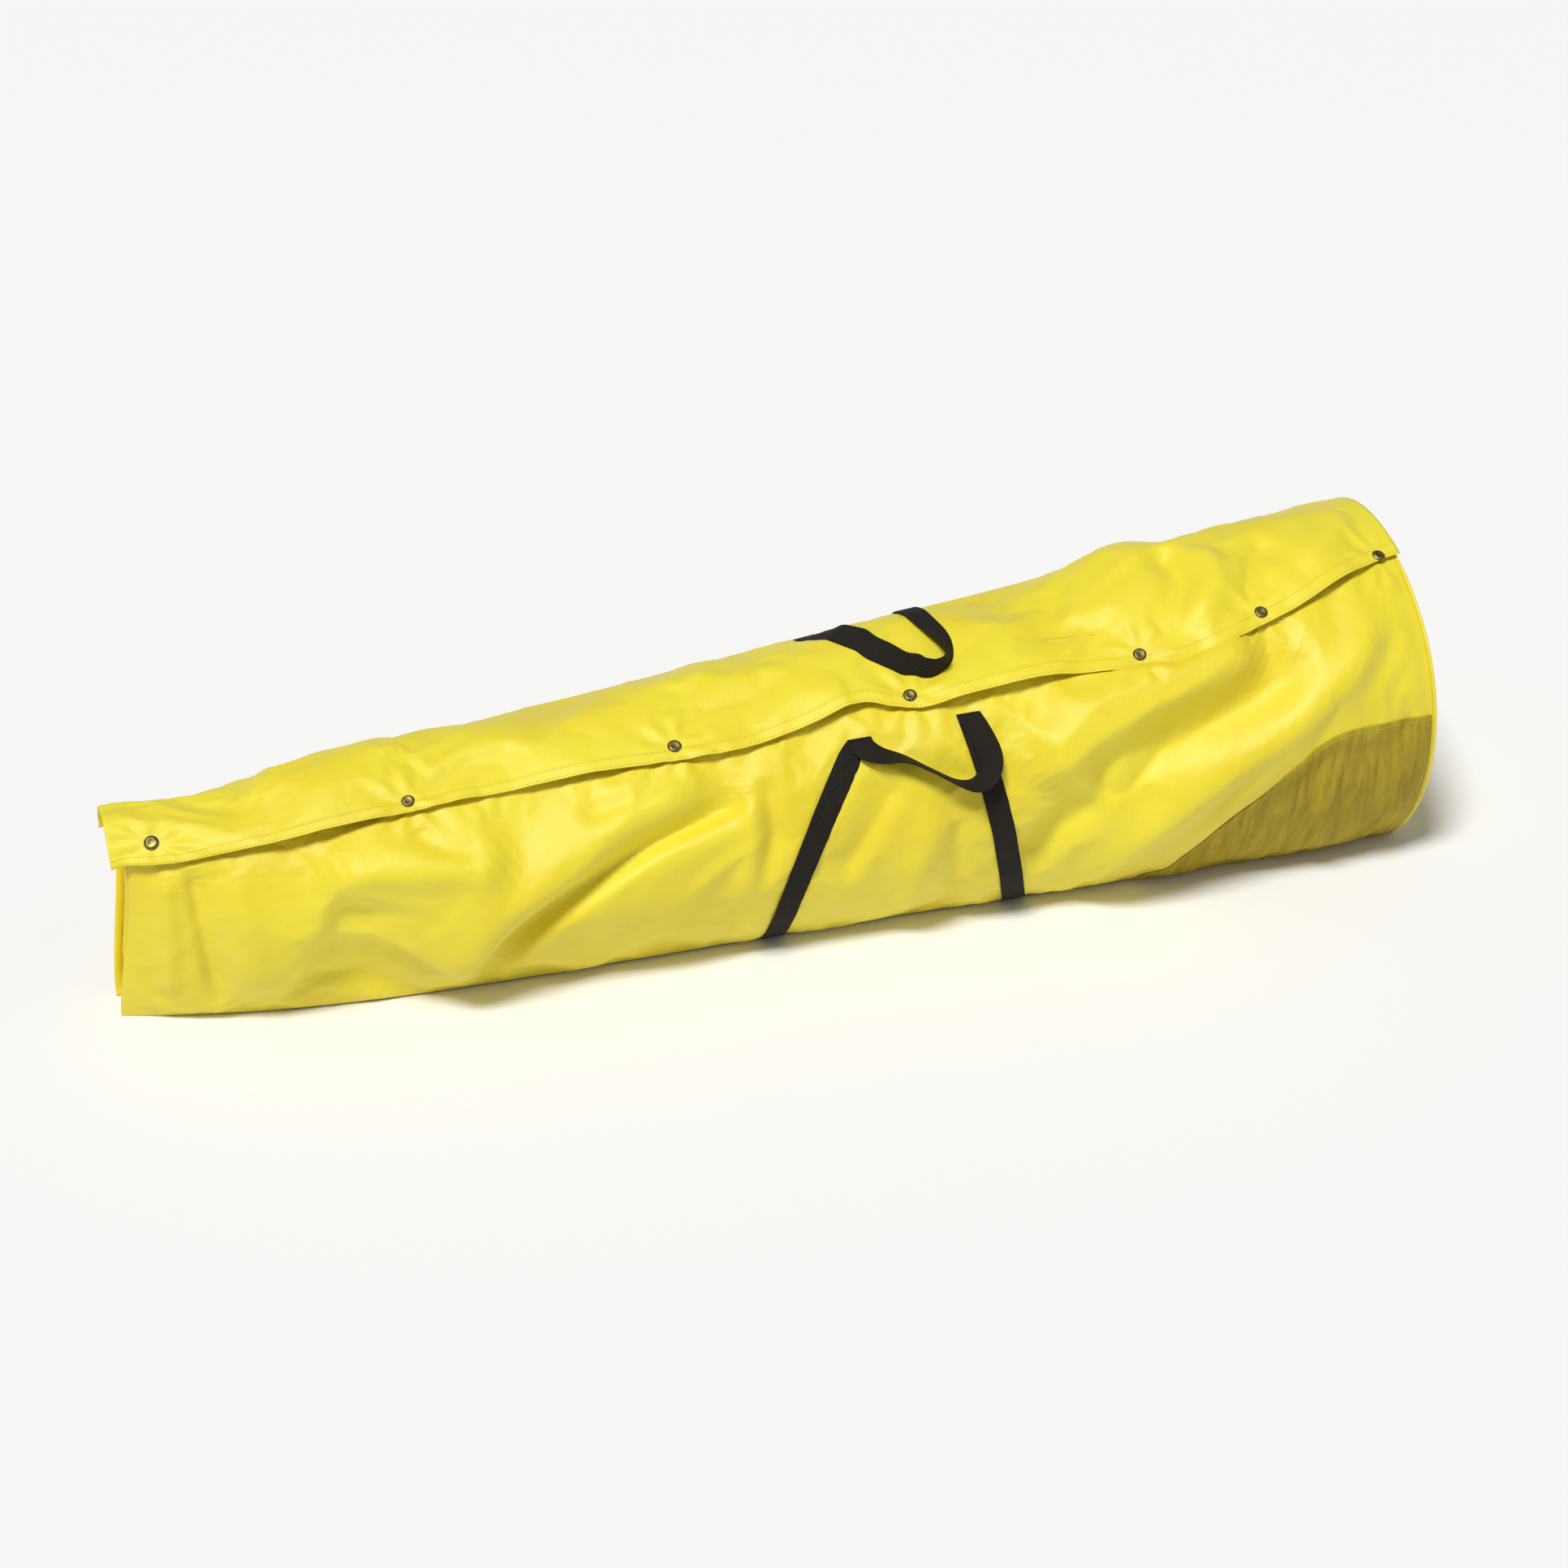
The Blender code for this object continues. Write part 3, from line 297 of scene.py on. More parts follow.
def unit(vectors):
    return vectors / np.linalg.norm(vectors, axis=-1, keepdims=True)


def fold_run(points):
    """Many points, evenly spaced in order, on a smooth curve through a fold's points."""
    places = np.array([(x / 1000, math.radians(a) * GIRTH_RADIUS) for x, a in points])
    t = np.linspace(0, 1, len(places))
    fine = np.linspace(0, 1, 60)
    return np.stack([smooth(list(zip(t, places[:, k])), fine) for k in (0, 1)], axis=1)


def folds(x, angle, kinds):
    """How far the folds push the cloth outwards."""
    shape = x.shape
    here = np.stack([x.ravel(), angle.ravel() * GIRTH_RADIUS], axis=1)
    total = np.zeros(len(here))
    for height, left, right, points in kinds:
        run = fold_run(points)
        ahead = np.gradient(run, axis=0)
        near = np.full(len(here), np.inf)
        which = np.zeros(len(here), int)
        for k, place in enumerate(run):
            d = ((here - place) ** 2).sum(axis=1)
            closer = d < near
            near[closer], which[closer] = d[closer], k
        gap = here - run[which]
        side = ahead[which, 0] * gap[:, 1] - ahead[which, 1] * gap[:, 0]
        reach = np.where(side > 0, left / 1000, right / 1000)
        share = which / (len(run) - 1)
        fade = step(0, 0.22, share) * step(0, 0.22, 1 - share)
        total += height / 1000 * fade * np.exp(-near / reach**2)
    return total.reshape(shape)


def snap_places():
    """(x, angle) of each snap, read from the frame."""
    found = []
    for number in range(1, 8):
        low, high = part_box(f"snap_cap_{number}")
        middle = (low + high) / 2
        angles = np.radians(np.linspace(30, 100, 701))
        points = skin(middle.x, angles, SNAP_OUT + 0.001)
        found.append((middle.x, float(angles[np.argmin(np.linalg.norm(points - np.array(middle), axis=1))])))
    return found


SNAPS = snap_places()


def from_snap(x, angle, snap):
    """Distances along and round the bag from a snap."""
    return x - snap[0], (angle - snap[1]) * GIRTH_RADIUS


def calm(x, angle, reach=0.020):
    """0 at a snap, where the cloth is pinched flat, and 1 well away from all of them."""
    free = np.ones_like(x)
    for snap in SNAPS:
        u, v = from_snap(x, angle, snap)
        free *= 1 - np.exp(-(u**2 + v**2) / reach**2)
    return free


def pucker(x, angle, seed):
    """Short creases that fan out from each snap."""
    total = np.zeros_like(x)
    for k, snap in enumerate(SNAPS):
        u, v = from_snap(x, angle, snap)
        far = np.hypot(u, v)
        turn = np.arctan2(v, u)
        total += 0.0016 * np.sin(turn * 7 + k * 1.7 + seed) * np.exp(-(((far - 0.026) / 0.016) ** 2))
    return total


# Relief that the cloth simulation adds, one table of heights for each panel, empty until it has run
SLACK = {}
FRONT_SLACK_TOP = math.radians(84)


def slack(panel, across, up):
    """Height of a panel's simulated relief at shares of its length and girth."""
    table = SLACK.get(panel)
    if table is None:
        return np.zeros_like(across)
    u = np.clip(across, 0, 1) * (table.shape[0] - 1)
    v = np.clip(up, 0, 1) * (table.shape[1] - 1)
    i = np.minimum(u.astype(int), table.shape[0] - 2)
    j = np.minimum(v.astype(int), table.shape[1] - 2)
    s, t = u - i, v - j
    low = table[i, j] * (1 - s) + table[i + 1, j] * s
    high = table[i, j + 1] * (1 - s) + table[i + 1, j + 1] * s
    return low * (1 - t) + high * t


def front_shares(x, angle):
    return x / BAG_LENGTH + 0.5, (angle + BASE_ANGLE) / (FRONT_SLACK_TOP + BASE_ANGLE)


def flap_shares(x, angle):
    edge = flap_edge(x)
    return x / BAG_LENGTH + 0.5, (angle - edge) / (FOLD_ANGLE - edge)


HIGHEST_FOLD = 0.023
UNDER_SKIN = 0.0005  # the front cloth lies this far under the plain shape where nothing pushes it out
BACK_UNDER_SKIN = 0.0004
FOLD_LEVEL = 0.0022  # the flap's height over the plain shape at its fold
HOOPS = [sum((corner.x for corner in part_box(name)), 0.0) / 2 for name in ("throat_hoop", "rear_hoop")]


def held_out(x, out):
    """Keeps the cloth from sinking onto the hoops inside it."""
    beside = np.minimum.reduce([np.abs(x - hoop) for hoop in HOOPS])
    deepest = -0.0045 - 0.30 * np.maximum(0, beside - 0.006)
    return np.maximum(out, deepest)


def front_out(x, angle):
    """How far the front cloth's outside stands off the plain shape."""
    seam = step(0, 0.09, angle + BASE_ANGLE) * step(0, 0.03, BAG_LENGTH / 2 - np.abs(x))
    under = 1 - step(-0.02, 0.10, angle - flap_edge(x))
    out = folds(x, angle, FRONT_FOLDS) + crumple(x, angle, 5) + pucker(x, angle, 1)
    out = out + slack("front", *front_shares(x, angle))
    pulled = held_out(x, np.minimum(out, HIGHEST_FOLD))
    return seam * (under * pulled + (1 - under) * np.minimum(pulled, -UNDER_SKIN)) - UNDER_SKIN


def flap_out(x, angle):
    """How far the flap's outside stands off the plain shape."""
    edge = flap_edge(x)
    down = np.clip((angle - edge) * GIRTH_RADIUS, 0, None)
    ahead = (FOLD_ANGLE - angle) * GIRTH_RADIUS
    level = FOLD_LEVEL + (SNAP_OUT - FOLD_LEVEL) * step(-0.012, 0.07, ahead)
    top = smooth(TOP_SWELLS, x) * step(0.0, 0.4, angle - edge)
    free = calm(x, angle)
    wave = 0.5 + 0.5 * lattice_noise(x * 11 + 5, np.zeros_like(x) + 0.3, 77)
    lift = (0.0035 * wave + 0.0008) * np.exp(-((down / 0.020) ** 2)) * free
    back = step(-0.015, 0.02, ahead)
    relief = folds(x, angle, FLAP_FOLDS) + crumple(x, angle, 21) + pucker(x, angle, 2)
    relief = relief + slack("flap", *flap_shares(x, angle))
    hem = 0.0006 * (1 - step(HEM - 0.0015, HEM + 0.0015, down))
    lowest = -0.0030 - 0.12 * np.clip(down - 0.045, 0, 0.05)
    ends = step(0.0, 0.05, BAG_LENGTH / 2 + 0.004 - x)
    return level + lift * ends + hem + back * ends * (free * held_out(x, np.maximum(relief, lowest)) + top)


def back_out(x, angle):
    """How far the back cloth's outside stands off the plain shape."""
    seam = step(0, 0.09, math.pi + BASE_ANGLE - angle) * step(0, 0.03, BAG_LENGTH / 2 - np.abs(x))
    start = step(0.0, 0.12, angle - FOLD_ANGLE)
    swell = 0.004 * lattice_noise(x * 4 + 9, angle * 1.5 + 3, 41)
    return seam * start * (crumple(x, angle, 33) * 1.6 + swell) - BACK_UNDER_SKIN


# -------- cloth simulation


CLOTH_SETTINGS = dict(
    quality=6, mass=0.12, tension_stiffness=30, compression_stiffness=30, shear_stiffness=12,
    bending_stiffness=1.2, tension_damping=12, compression_damping=12, bending_damping=0.8,
    vertex_group_mass="pins", use_pressure=True, uniform_pressure_force=0.25,
)
FRAMES = 22
MOST_SLACK = 0.009
FRONT_SPARE, FLAP_SPARE = 0.012, 0.010  # spare cloth between its pins, as a share
PINCH = 0.012  # how far round a snap the cloth is held firm
RELIEF_COLUMNS, FRONT_ROWS, FLAP_ROWS = 260, 80, 60


def buckle(points, normals, pinned, spare):
    """Heights by which a grid of cloth buckles when it has this much spare cloth between its pins."""
    obj = new_object("slack", points.reshape(-1, 3), grid_quads(points))
    group = obj.vertex_groups.new(name="pins")
    group.add(np.flatnonzero(pinned).tolist(), 1.0, "REPLACE")
    cloth = obj.modifiers.new("cloth", "CLOTH")
    for name, value in CLOTH_SETTINGS.items():
        setattr(cloth.settings, name, value)
    cloth.settings.shrink_min = -spare
    cloth.settings.effector_weights.gravity = 0
    cloth.collision_settings.use_collision = False
    cloth.point_cache.frame_start = 1
    cloth.point_cache.frame_end = FRAMES
    scene = bpy.context.scene
    for frame_number in range(1, FRAMES + 1):
        scene.frame_set(frame_number)
    settled = obj.evaluated_get(bpy.context.evaluated_depsgraph_get()).data
    moved = np.zeros(len(settled.vertices) * 3)
    settled.vertices.foreach_get("co", moved)
    heights = ((moved.reshape(points.shape) - points) * normals).sum(axis=-1)
    bpy.data.objects.remove(obj)
    scene.frame_set(1)
    return MOST_SLACK * np.tanh(heights / MOST_SLACK)


def pin_near(x, angle, weights):
    """Adds a firm hold round each snap."""
    for snap in SNAPS:
        u, v = from_snap(x, angle, snap)
        weights[u**2 + v**2 < PINCH**2] = 1.0


def slacken_front():
    """Runs the front cloth, held at its seams, its snaps, its straps and under the flap."""
    xs = along_bag(RELIEF_COLUMNS)
    angles = np.linspace(-BASE_ANGLE, FRONT_SLACK_TOP, FRONT_ROWS)
    x, angle = np.meshgrid(xs, angles, indexing="ij")
    held = np.zeros_like(x)
    held[:2], held[-2:], held[:, :2] = 1.0, 1.0, 1.0
    held[angle > flap_edge(x) + 0.05] = 1.0
    for strap in (STRAP_LEFT, STRAP_RIGHT):
        beside = np.abs(x - strap_run(strap, angle, True)) < WEBBING_WIDTH / 2
        held[beside & (angle < STRAP_FRONT_TOP)] = 1.0
    pin_near(x, angle, held)
    SLACK["front"] = buckle(skin(x, angle, front_out(x, angle)), skin_normal(x, angle), held, FRONT_SPARE)


def slacken_flap():
    """Runs the flap's cloth, held at its fold, its ends and its snaps."""
    xs = along_bag(RELIEF_COLUMNS)
    up = np.linspace(0, 1, FLAP_ROWS)
    x = np.repeat(xs[:, None], len(up), axis=1)
    edge = flap_edge(x)
    angle = edge + (FOLD_ANGLE - edge) * up[None, :]
    held = np.zeros_like(x)
    held[:, -3:] = 1.0
    held[:2], held[-2:] = 1.0, 1.0
    pin_near(x, angle, held)
    SLACK["flap"] = buckle(skin(x, angle, flap_out(x, angle)), skin_normal(x, angle), held, FLAP_SPARE)


# -------- materials


def new_material(name):
    material = bpy.data.materials.new(name)
    material.use_nodes = True
    tree = material.node_tree
    return material, tree, tree.nodes["Principled BSDF"]


def put(node, **inputs):
    """Sets or links a node's inputs by name, with _ for a space."""
    for name, value in inputs.items():
        socket = node.inputs[name.replace("_", " ")]
        if isinstance(value, bpy.types.NodeSocket):
            node.id_data.links.new(value, socket)
        else:
            socket.default_value = value


def add(tree, kind, **settings):
    """A node with its settings. A setting that names an input sets or links that input."""
    node = tree.nodes.new(kind)
    for name, value in settings.items():
        if node.inputs.get(name.replace("_", " ")) is not None:
            put(node, **{name: value})
        else:
            setattr(node, name, value)
    return node


def mapped(tree, layer, scale):
    """Texture coordinates from a metric UV layer, or from the object's own space."""
    if layer:
        source = add(tree, "ShaderNodeUVMap", uv_map=layer).outputs["UV"]
    else:
        source = add(tree, "ShaderNodeTexCoord").outputs["Object"]
    return add(tree, "ShaderNodeMapping", Scale=scale, Vector=source).outputs["Vector"]


def noise(tree, vector, scale, detail=3.0, rough=0.55):
    node = add(tree, "ShaderNodeTexNoise", Scale=scale, Detail=detail, Roughness=rough, Vector=vector)
    return node.outputs["Fac"]


def ramp(tree, value, stops):
    """A colour ramp over value with (position, colour) stops."""
    node = add(tree, "ShaderNodeValToRGB", Fac=value)
    band = node.color_ramp
    while len(band.elements) < len(stops):
        band.elements.new(0.5)
    for element, (position, colour) in zip(band.elements, stops):
        element.position = position
        element.color = (*colour, 1.0)
    return node.outputs["Color"]


def spread(tree, value, low, high):
    """value from 0..1 spread over low..high."""
    return add(tree, "ShaderNodeMapRange", To_Min=low, To_Max=high, Value=value).outputs["Result"]


def weave(tree, layer, thread):
    """Plain weave of threads this wide, as a height from 0 to 1."""
    scale = math.pi / thread / 10
    most = add(tree, "ShaderNodeMath", operation="MAXIMUM")
    for number, direction in enumerate("XY"):
        wave = add(tree, "ShaderNodeTexWave", bands_direction=direction, Scale=1.0, Distortion=0.35,
                   Detail=1.0, Vector=mapped(tree, layer, (scale, scale, scale)))
        tree.links.new(wave.outputs["Fac"], most.inputs[number])
    return most.outputs["Value"]


def bumps(tree, shader, heights):
    """Chains (height, distance, strength) bumps into the shader's normal."""
    last = {}
    for height, distance, strength in heights:
        bump = add(tree, "ShaderNodeBump", Strength=strength, Distance=distance, Height=height, **last)
        last = {"Normal": bump.outputs["Normal"]}
    put(shader, **last)


def mixed(tree, share, a, b):
    """Colours a and b mixed by share. Either may be a colour or a socket."""
    node = add(tree, "ShaderNodeMix", data_type="RGBA")
    for socket, value in ((node.inputs[0], share), (node.inputs[6], a), (node.inputs[7], b)):
        if isinstance(value, bpy.types.NodeSocket):
            tree.links.new(value, socket)
        else:
            socket.default_value = (*value, 1.0)
    return node.outputs[2]


def coated_cloth(name, light, dark, grime, thread=0.0009, coat=0.06, rough=(0.38, 0.56)):
    """Coated woven nylon: faint weave under the coating, soft crinkle and a little grime."""
    material, tree, shader = new_material(name)
    cloth = mapped(tree, "cloth", (1, 1, 1))
    base = ramp(tree, noise(tree, cloth, 5.0, 4.0), [(0.30, dark), (0.62, light)])
    dirt = ramp(tree, noise(tree, cloth, 23.0, 6.0, 0.7), [(0.55, (0, 0, 0)), (0.80, (1, 1, 1))])
    put(shader, Base_Color=mixed(tree, spread(tree, dirt, 0.0, 0.30), base, grime),
        Roughness=spread(tree, noise(tree, cloth, 40.0, 5.0), *rough),
        Coat_Weight=coat, Coat_Roughness=0.35, Sheen_Weight=0.10)
    bumps(tree, shader, [
        (noise(tree, cloth, 60.0, 5.0, 0.6), 0.0016, 0.45),
        (noise(tree, cloth, 230.0, 4.0, 0.6), 0.0006, 0.35),
        (weave(tree, "cloth", thread), 0.00012, 0.55),
    ])
    return material


def patch_cloth():
    """Painted shade: dark olive-brown matt cloth for the shade under the wide end's overhanging fold, with streaks
    down it and an open weave.
    """
    material, tree, shader = new_material("patch_cloth")
    cloth = mapped(tree, "cloth", (1, 1, 1))
    streaks = noise(tree, mapped(tree, "cloth", (9, 1.2, 1)), 14.0, 6.0, 0.7)
    # painted shade: these dark olive-brown colours stand for the shadow below the wide end's overhanging fold
    shades = [(0.30, (0.27, 0.19, 0.010)), (0.50, (0.45, 0.34, 0.020)), (0.72, (0.62, 0.49, 0.040))]
    stains = spread(tree, noise(tree, cloth, 11.0, 4.0), 0.0, 0.5)
    put(shader, Base_Color=mixed(tree, stains, ramp(tree, streaks, shades), (0.30, 0.21, 0.018)),
        Roughness=spread(tree, streaks, 0.60, 0.85), Specular_IOR_Level=0.25)
    bumps(tree, shader, [
        (noise(tree, cloth, 70.0, 5.0, 0.6), 0.0020, 0.5),
        (weave(tree, "cloth", 0.0016), 0.0003, 0.8),
    ])
    return material


def webbing_material():
    """Woven webbing: slanted ribs across its width, matt, a little worn on its high threads."""
    colour, worn = (0.007, 0.005, 0.003), (0.024, 0.018, 0.012)
    material, tree, shader = new_material("webbing")
    ribs = add(tree, "ShaderNodeTexWave", bands_direction="DIAGONAL", Scale=1.0, Distortion=0.6,
               Vector=mapped(tree, "cloth", (120, 150, 1))).outputs["Fac"]
    cross = add(tree, "ShaderNodeTexWave", bands_direction="X", Scale=1.0,
                Vector=mapped(tree, "cloth", (260, 1, 1))).outputs["Fac"]
    fuzz = noise(tree, mapped(tree, "cloth", (1, 1, 1)), 900.0, 4.0)
    wear = mixed(tree, spread(tree, ribs, 0.0, 0.55), colour, worn)
    put(shader, Base_Color=mixed(tree, spread(tree, fuzz, 0.0, 0.25), wear, colour),
        Roughness=spread(tree, fuzz, 0.70, 0.95), Specular_IOR_Level=0.3)
    bumps(tree, shader, [(ribs, 0.0004, 0.9), (cross, 0.0002, 0.6), (fuzz, 0.0002, 0.5)])
    return material


def thread_material(name, colour):
    """Twisted sewing thread."""
    material, tree, shader = new_material(name)
    twist = noise(tree, mapped(tree, None, (1, 1, 1)), 1400.0, 3.0)
    dark = tuple(c * 0.7 for c in colour)
    put(shader, Base_Color=ramp(tree, twist, [(0.3, dark), (0.7, colour)]),
        Roughness=spread(tree, twist, 0.55, 0.75))
    bumps(tree, shader, [(twist, 0.0002, 0.6)])
    return material


def metal_material(name, bright, dull, rough, stretch=(1, 1, 1), scale=120.0):
    """Metal with fine scratches along stretch, dull blotches and small pits."""
    material, tree, shader = new_material(name)
    blotches = noise(tree, mapped(tree, None, (1, 1, 1)), scale, 5.0)
    scratches = noise(tree, mapped(tree, None, stretch), scale * 8, 5.0, 0.7)
    put(shader, Base_Color=ramp(tree, blotches, [(0.35, dull), (0.65, bright)]),
        Roughness=spread(tree, scratches, *rough), Metallic=1.0)
    bumps(tree, shader, [(scratches, 0.0001, 0.25), (blotches, 0.0003, 0.125)])
    return material


def make_materials():
    cloths = {
        "bag_cloth": dict(light=(0.855, 0.72, 0.03), dark=(0.8, 0.63, 0.016), grime=(0.6, 0.45, 0.02)),
        "flap_cloth": dict(light=(0.87, 0.74, 0.036), dark=(0.815, 0.66, 0.02), grime=(0.62, 0.48, 0.022)),
        # the flap's cloth is the bag's cloth made a little lighter: painted light on the bag's lit top
        "windsock_cloth": dict(light=(0.9, 0.235, 0.035), dark=(0.8, 0.17, 0.02), grime=(0.5, 0.12, 0.03),
                               thread=0.0007, coat=0.0, rough=(0.55, 0.75)),
    }
    metals = {
        "snap_metal": dict(bright=(0.3, 0.25, 0.085), dull=(0.13, 0.105, 0.035), rough=(0.32, 0.55),
                           scale=300.0),
        "pole_aluminium": dict(bright=(0.78, 0.79, 0.81), dull=(0.62, 0.63, 0.65), rough=(0.22, 0.42),
                               stretch=(0.05, 1, 1), scale=60.0),
        "frame_steel": dict(bright=(0.6, 0.6, 0.6), dull=(0.42, 0.42, 0.43), rough=(0.28, 0.5), scale=90.0),
    }
    look = {name: coated_cloth(name, **kind) for name, kind in cloths.items()}
    look.update({name: metal_material(name, **kind) for name, kind in metals.items()})
    # the patch's dark colour is painted shade for the underside below the wide end's fold
    look["patch_cloth"] = patch_cloth()
    look["webbing"] = webbing_material()
    look["yellow_thread"] = thread_material("yellow_thread", (0.80, 0.62, 0.05))
    look["black_thread"] = thread_material("black_thread", (0.030, 0.026, 0.022))
    return look


# -------- builders


def finish_piece(obj, material, body, nodes=()):
    """Gives a piece its material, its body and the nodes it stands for."""
    obj.data.materials.append(material)
    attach(obj, body)
    if nodes:
        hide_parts(*nodes)
    return obj


def in_scene(name, data):
    """A new object in the scene that shows data."""
    obj = bpy.data.objects.new(name, data)
    bpy.context.scene.collection.objects.link(obj)
    return obj


def new_object(name, points, faces):
    mesh = bpy.data.meshes.new(name)
    mesh.from_pydata(np.asarray(points).tolist(), [], faces)
    mesh.shade_smooth()
    return in_scene(name, mesh)


def lay_uv(obj, us, vs):
    """Gives the points a UV layer in metres."""
    layer = obj.data.uv_layers.new(name="cloth")
    corners = np.zeros(len(obj.data.loops), np.int64)
    obj.data.loops.foreach_get("vertex_index", corners)
    flat = np.stack([np.asarray(us).ravel(), np.asarray(vs).ravel()], axis=1)
    layer.data.foreach_set("uv", flat[corners].ravel().astype(np.float32))


def face_outwards(obj, merge=0.0):
    """Turns all faces outwards, after merging points closer than merge."""
    shape = bmesh.new()
    shape.from_mesh(obj.data)
    if merge:
        bmesh.ops.remove_doubles(shape, verts=shape.verts, dist=merge)
    bmesh.ops.recalc_face_normals(shape, faces=shape.faces)
    shape.to_mesh(obj.data)
    shape.free()


def grid_quads(points):
    """Faces of a grid of points (rows, columns, 3)."""
    rows, columns = points.shape[:2]
    first = (np.arange(rows - 1)[:, None] * columns + np.arange(columns - 1)).ravel()
    return np.stack([first, first + columns, first + columns + 1, first + 1], axis=1).tolist()


def sleeve_faces(rows, sides):
    """Faces of a sleeve through rings of points, with a cap at each end."""
    faces = []
    for r in range(rows - 1):
        for k in range(sides):
            a, b = r * sides + k, r * sides + (k + 1) % sides
            faces.append((a, b, b + sides, a + sides))
    faces.append(tuple(reversed(range(sides))))
    faces.append(tuple((rows - 1) * sides + k for k in range(sides)))
    return faces


def run_along(path):
    """Distance along a path at each of its points."""
    return np.concatenate([[0], np.cumsum(np.linalg.norm(np.diff(path, axis=0), axis=1))])


def grid_object(name, points, us, vs, thickness, side=-1):
    """A sheet through a grid of points (rows, columns, 3) with a metric UV layer."""
    obj = new_object(name, points.reshape(-1, 3), grid_quads(points))
    lay_uv(obj, us, vs)
    thicken = obj.modifiers.new("thickness", "SOLIDIFY")
    thicken.thickness = thickness
    thicken.offset = side
    return obj


def skin_sheet(name, xs, angle_rows, out):
    """A cloth panel over the bag. angle_rows holds each x's angles. Returns the object and its points."""
    x = np.repeat(xs[:, None], angle_rows.shape[1], axis=1)
    points = skin(x, angle_rows, out(x, angle_rows))
    return grid_object(name, points, x, angle_rows * GIRTH_RADIUS, CLOTH), points


def skin_seam(name, xs, angles, out, material, body, **kind):
    """A row of stitches on a cloth panel over the bag."""
    places = skin(xs, angles, out(xs, angles))
    stitches(name, places, skin_normal(xs, angles), material, body, **kind)


def stitches(name, places, normals, material, body, spacing=0.0040, length=0.0030, radius=0.00035):
    """Thread stitches along a run of places, laid on the cloth whose normals are given."""
    runs = run_along(places)
    gaps = np.diff(runs)
    points, faces = [], []
    sides, rings = 6, [(-0.5, 0.35), (-0.38, 0.85), (0.0, 1.0), (0.38, 0.85), (0.5, 0.35)]
    sleeve = sleeve_faces(len(rings), sides)
    for middle in np.arange(spacing / 2, runs[-1], spacing):
        i = min(int(np.searchsorted(runs, middle)) - 1, len(gaps) - 1)
        share = (middle - runs[i]) / gaps[i]
        here = places[i] * (1 - share) + places[i + 1] * share
        up = normals[i]
        ahead = (places[i + 1] - places[i]) / gaps[i]
        across = np.cross(ahead, up)
        faces += [tuple(len(points) + k for k in face) for face in sleeve]
        for at, size in rings:
            for k in range(sides):
                turn = 2 * math.pi * k / sides
                sag = 0.6 * (1 - size)
                points.append(here + ahead * at * length + across * math.cos(turn) * radius * size
                              + up * radius * (math.sin(turn) * size - sag + 0.3))
    finish_piece(new_object(name, points, faces), material, body)


def lathe(name, profile, origin, axis, segments=48):
    """A turned piece from (radius, height) points along axis."""
    points, faces = [], []
    for radius, height in profile:
        for k in range(segments):
            turn = 2 * math.pi * k / segments
            points.append((radius * math.cos(turn), radius * math.sin(turn), height))
    for r in range(len(profile) - 1):
        for k in range(segments):
            a, b = r * segments + k, r * segments + (k + 1) % segments
            faces.append((a, a + segments, b + segments, b))
    turn = Vector(axis).to_track_quat("Z", "Y").to_matrix().to_4x4()
    place = np.array(Matrix.Translation(Vector(origin)) @ turn)
    points = np.array(points) @ place[:3, :3].T + place[:3, 3]
    obj = new_object(name, points, faces)
    face_outwards(obj, 1e-6)
    obj.data.shade_smooth()
    obj.data.set_sharp_from_angle(angle=math.radians(40))
    return obj


def ribbon(name, centres, acrosses):
    """Webbing along centres, with its width along acrosses and softly rounded edges."""
    centres, acrosses = np.asarray(centres), np.asarray(acrosses)
    acrosses = unit(acrosses)
    ups = unit(np.cross(np.gradient(centres, axis=0), acrosses))
    half, deep = WEBBING_WIDTH / 2, WEBBING / 2
    rims = [(-1.0, 0.45), (-0.97, 0.8), (-0.90, 1.0), (-0.5, 1.0), (0.0, 1.0), (0.5, 1.0), (0.90, 1.0),
            (0.97, 0.8), (1.0, 0.45)]
    outline = [(share * half, deep * rim) for share, rim in rims]
    ring = outline + [(a, -b) for a, b in reversed(outline)]
    points = np.stack([centres + acrosses * a + ups * b for a, b in ring], axis=1)
    rows, sides = points.shape[:2]
    obj = new_object(name, points.reshape(-1, 3), sleeve_faces(rows, sides))
    lay_uv(obj, np.repeat(run_along(centres), sides), np.tile([a for a, _ in ring], rows))
    face_outwards(obj)
    obj.data.set_sharp_from_angle(angle=math.radians(60))
    return obj


def tube(name, path, radius, material, body, sides=10):
    """A round cord along path, in the plane across X."""
    ahead = unit(np.gradient(path, axis=0))
    second = unit(np.cross(ahead, [1.0, 0.0, 0.0]))
    first = np.cross(second, ahead)
    turns = np.linspace(0, 2 * math.pi, sides, endpoint=False)
    points = np.stack([path + radius * (first * math.cos(t) + second * math.sin(t)) for t in turns], axis=1)
    obj = new_object(name, points.reshape(-1, 3), sleeve_faces(len(path), sides))
    lay_uv(obj, np.repeat(run_along(path), sides), np.tile(turns * radius, len(path)))
    finish_piece(obj, material, body)


# -------- the bag's cloth


def make_front(look):
    xs = along_bag(430)
    under_flap = 0.045
    tops = flap_edge(xs) + under_flap / GIRTH_RADIUS
    rows = -BASE_ANGLE + (tops[:, None] + BASE_ANGLE) * np.linspace(0, 1, 130)
    front, points = skin_sheet("front_cloth", xs, rows, front_out)
    finish_piece(front, look["bag_cloth"], "bag", ["front_panel"])


def make_back(look):
    xs = along_bag(300)
    below_fold = 0.012
    rows = np.repeat(np.linspace(FOLD_ANGLE + below_fold, math.pi + BASE_ANGLE, 90)[None, :], len(xs), axis=0)
    back, points = skin_sheet("back_cloth", xs, rows, back_out)
    finish_piece(back, look["bag_cloth"], "bag", ["back_panel"])


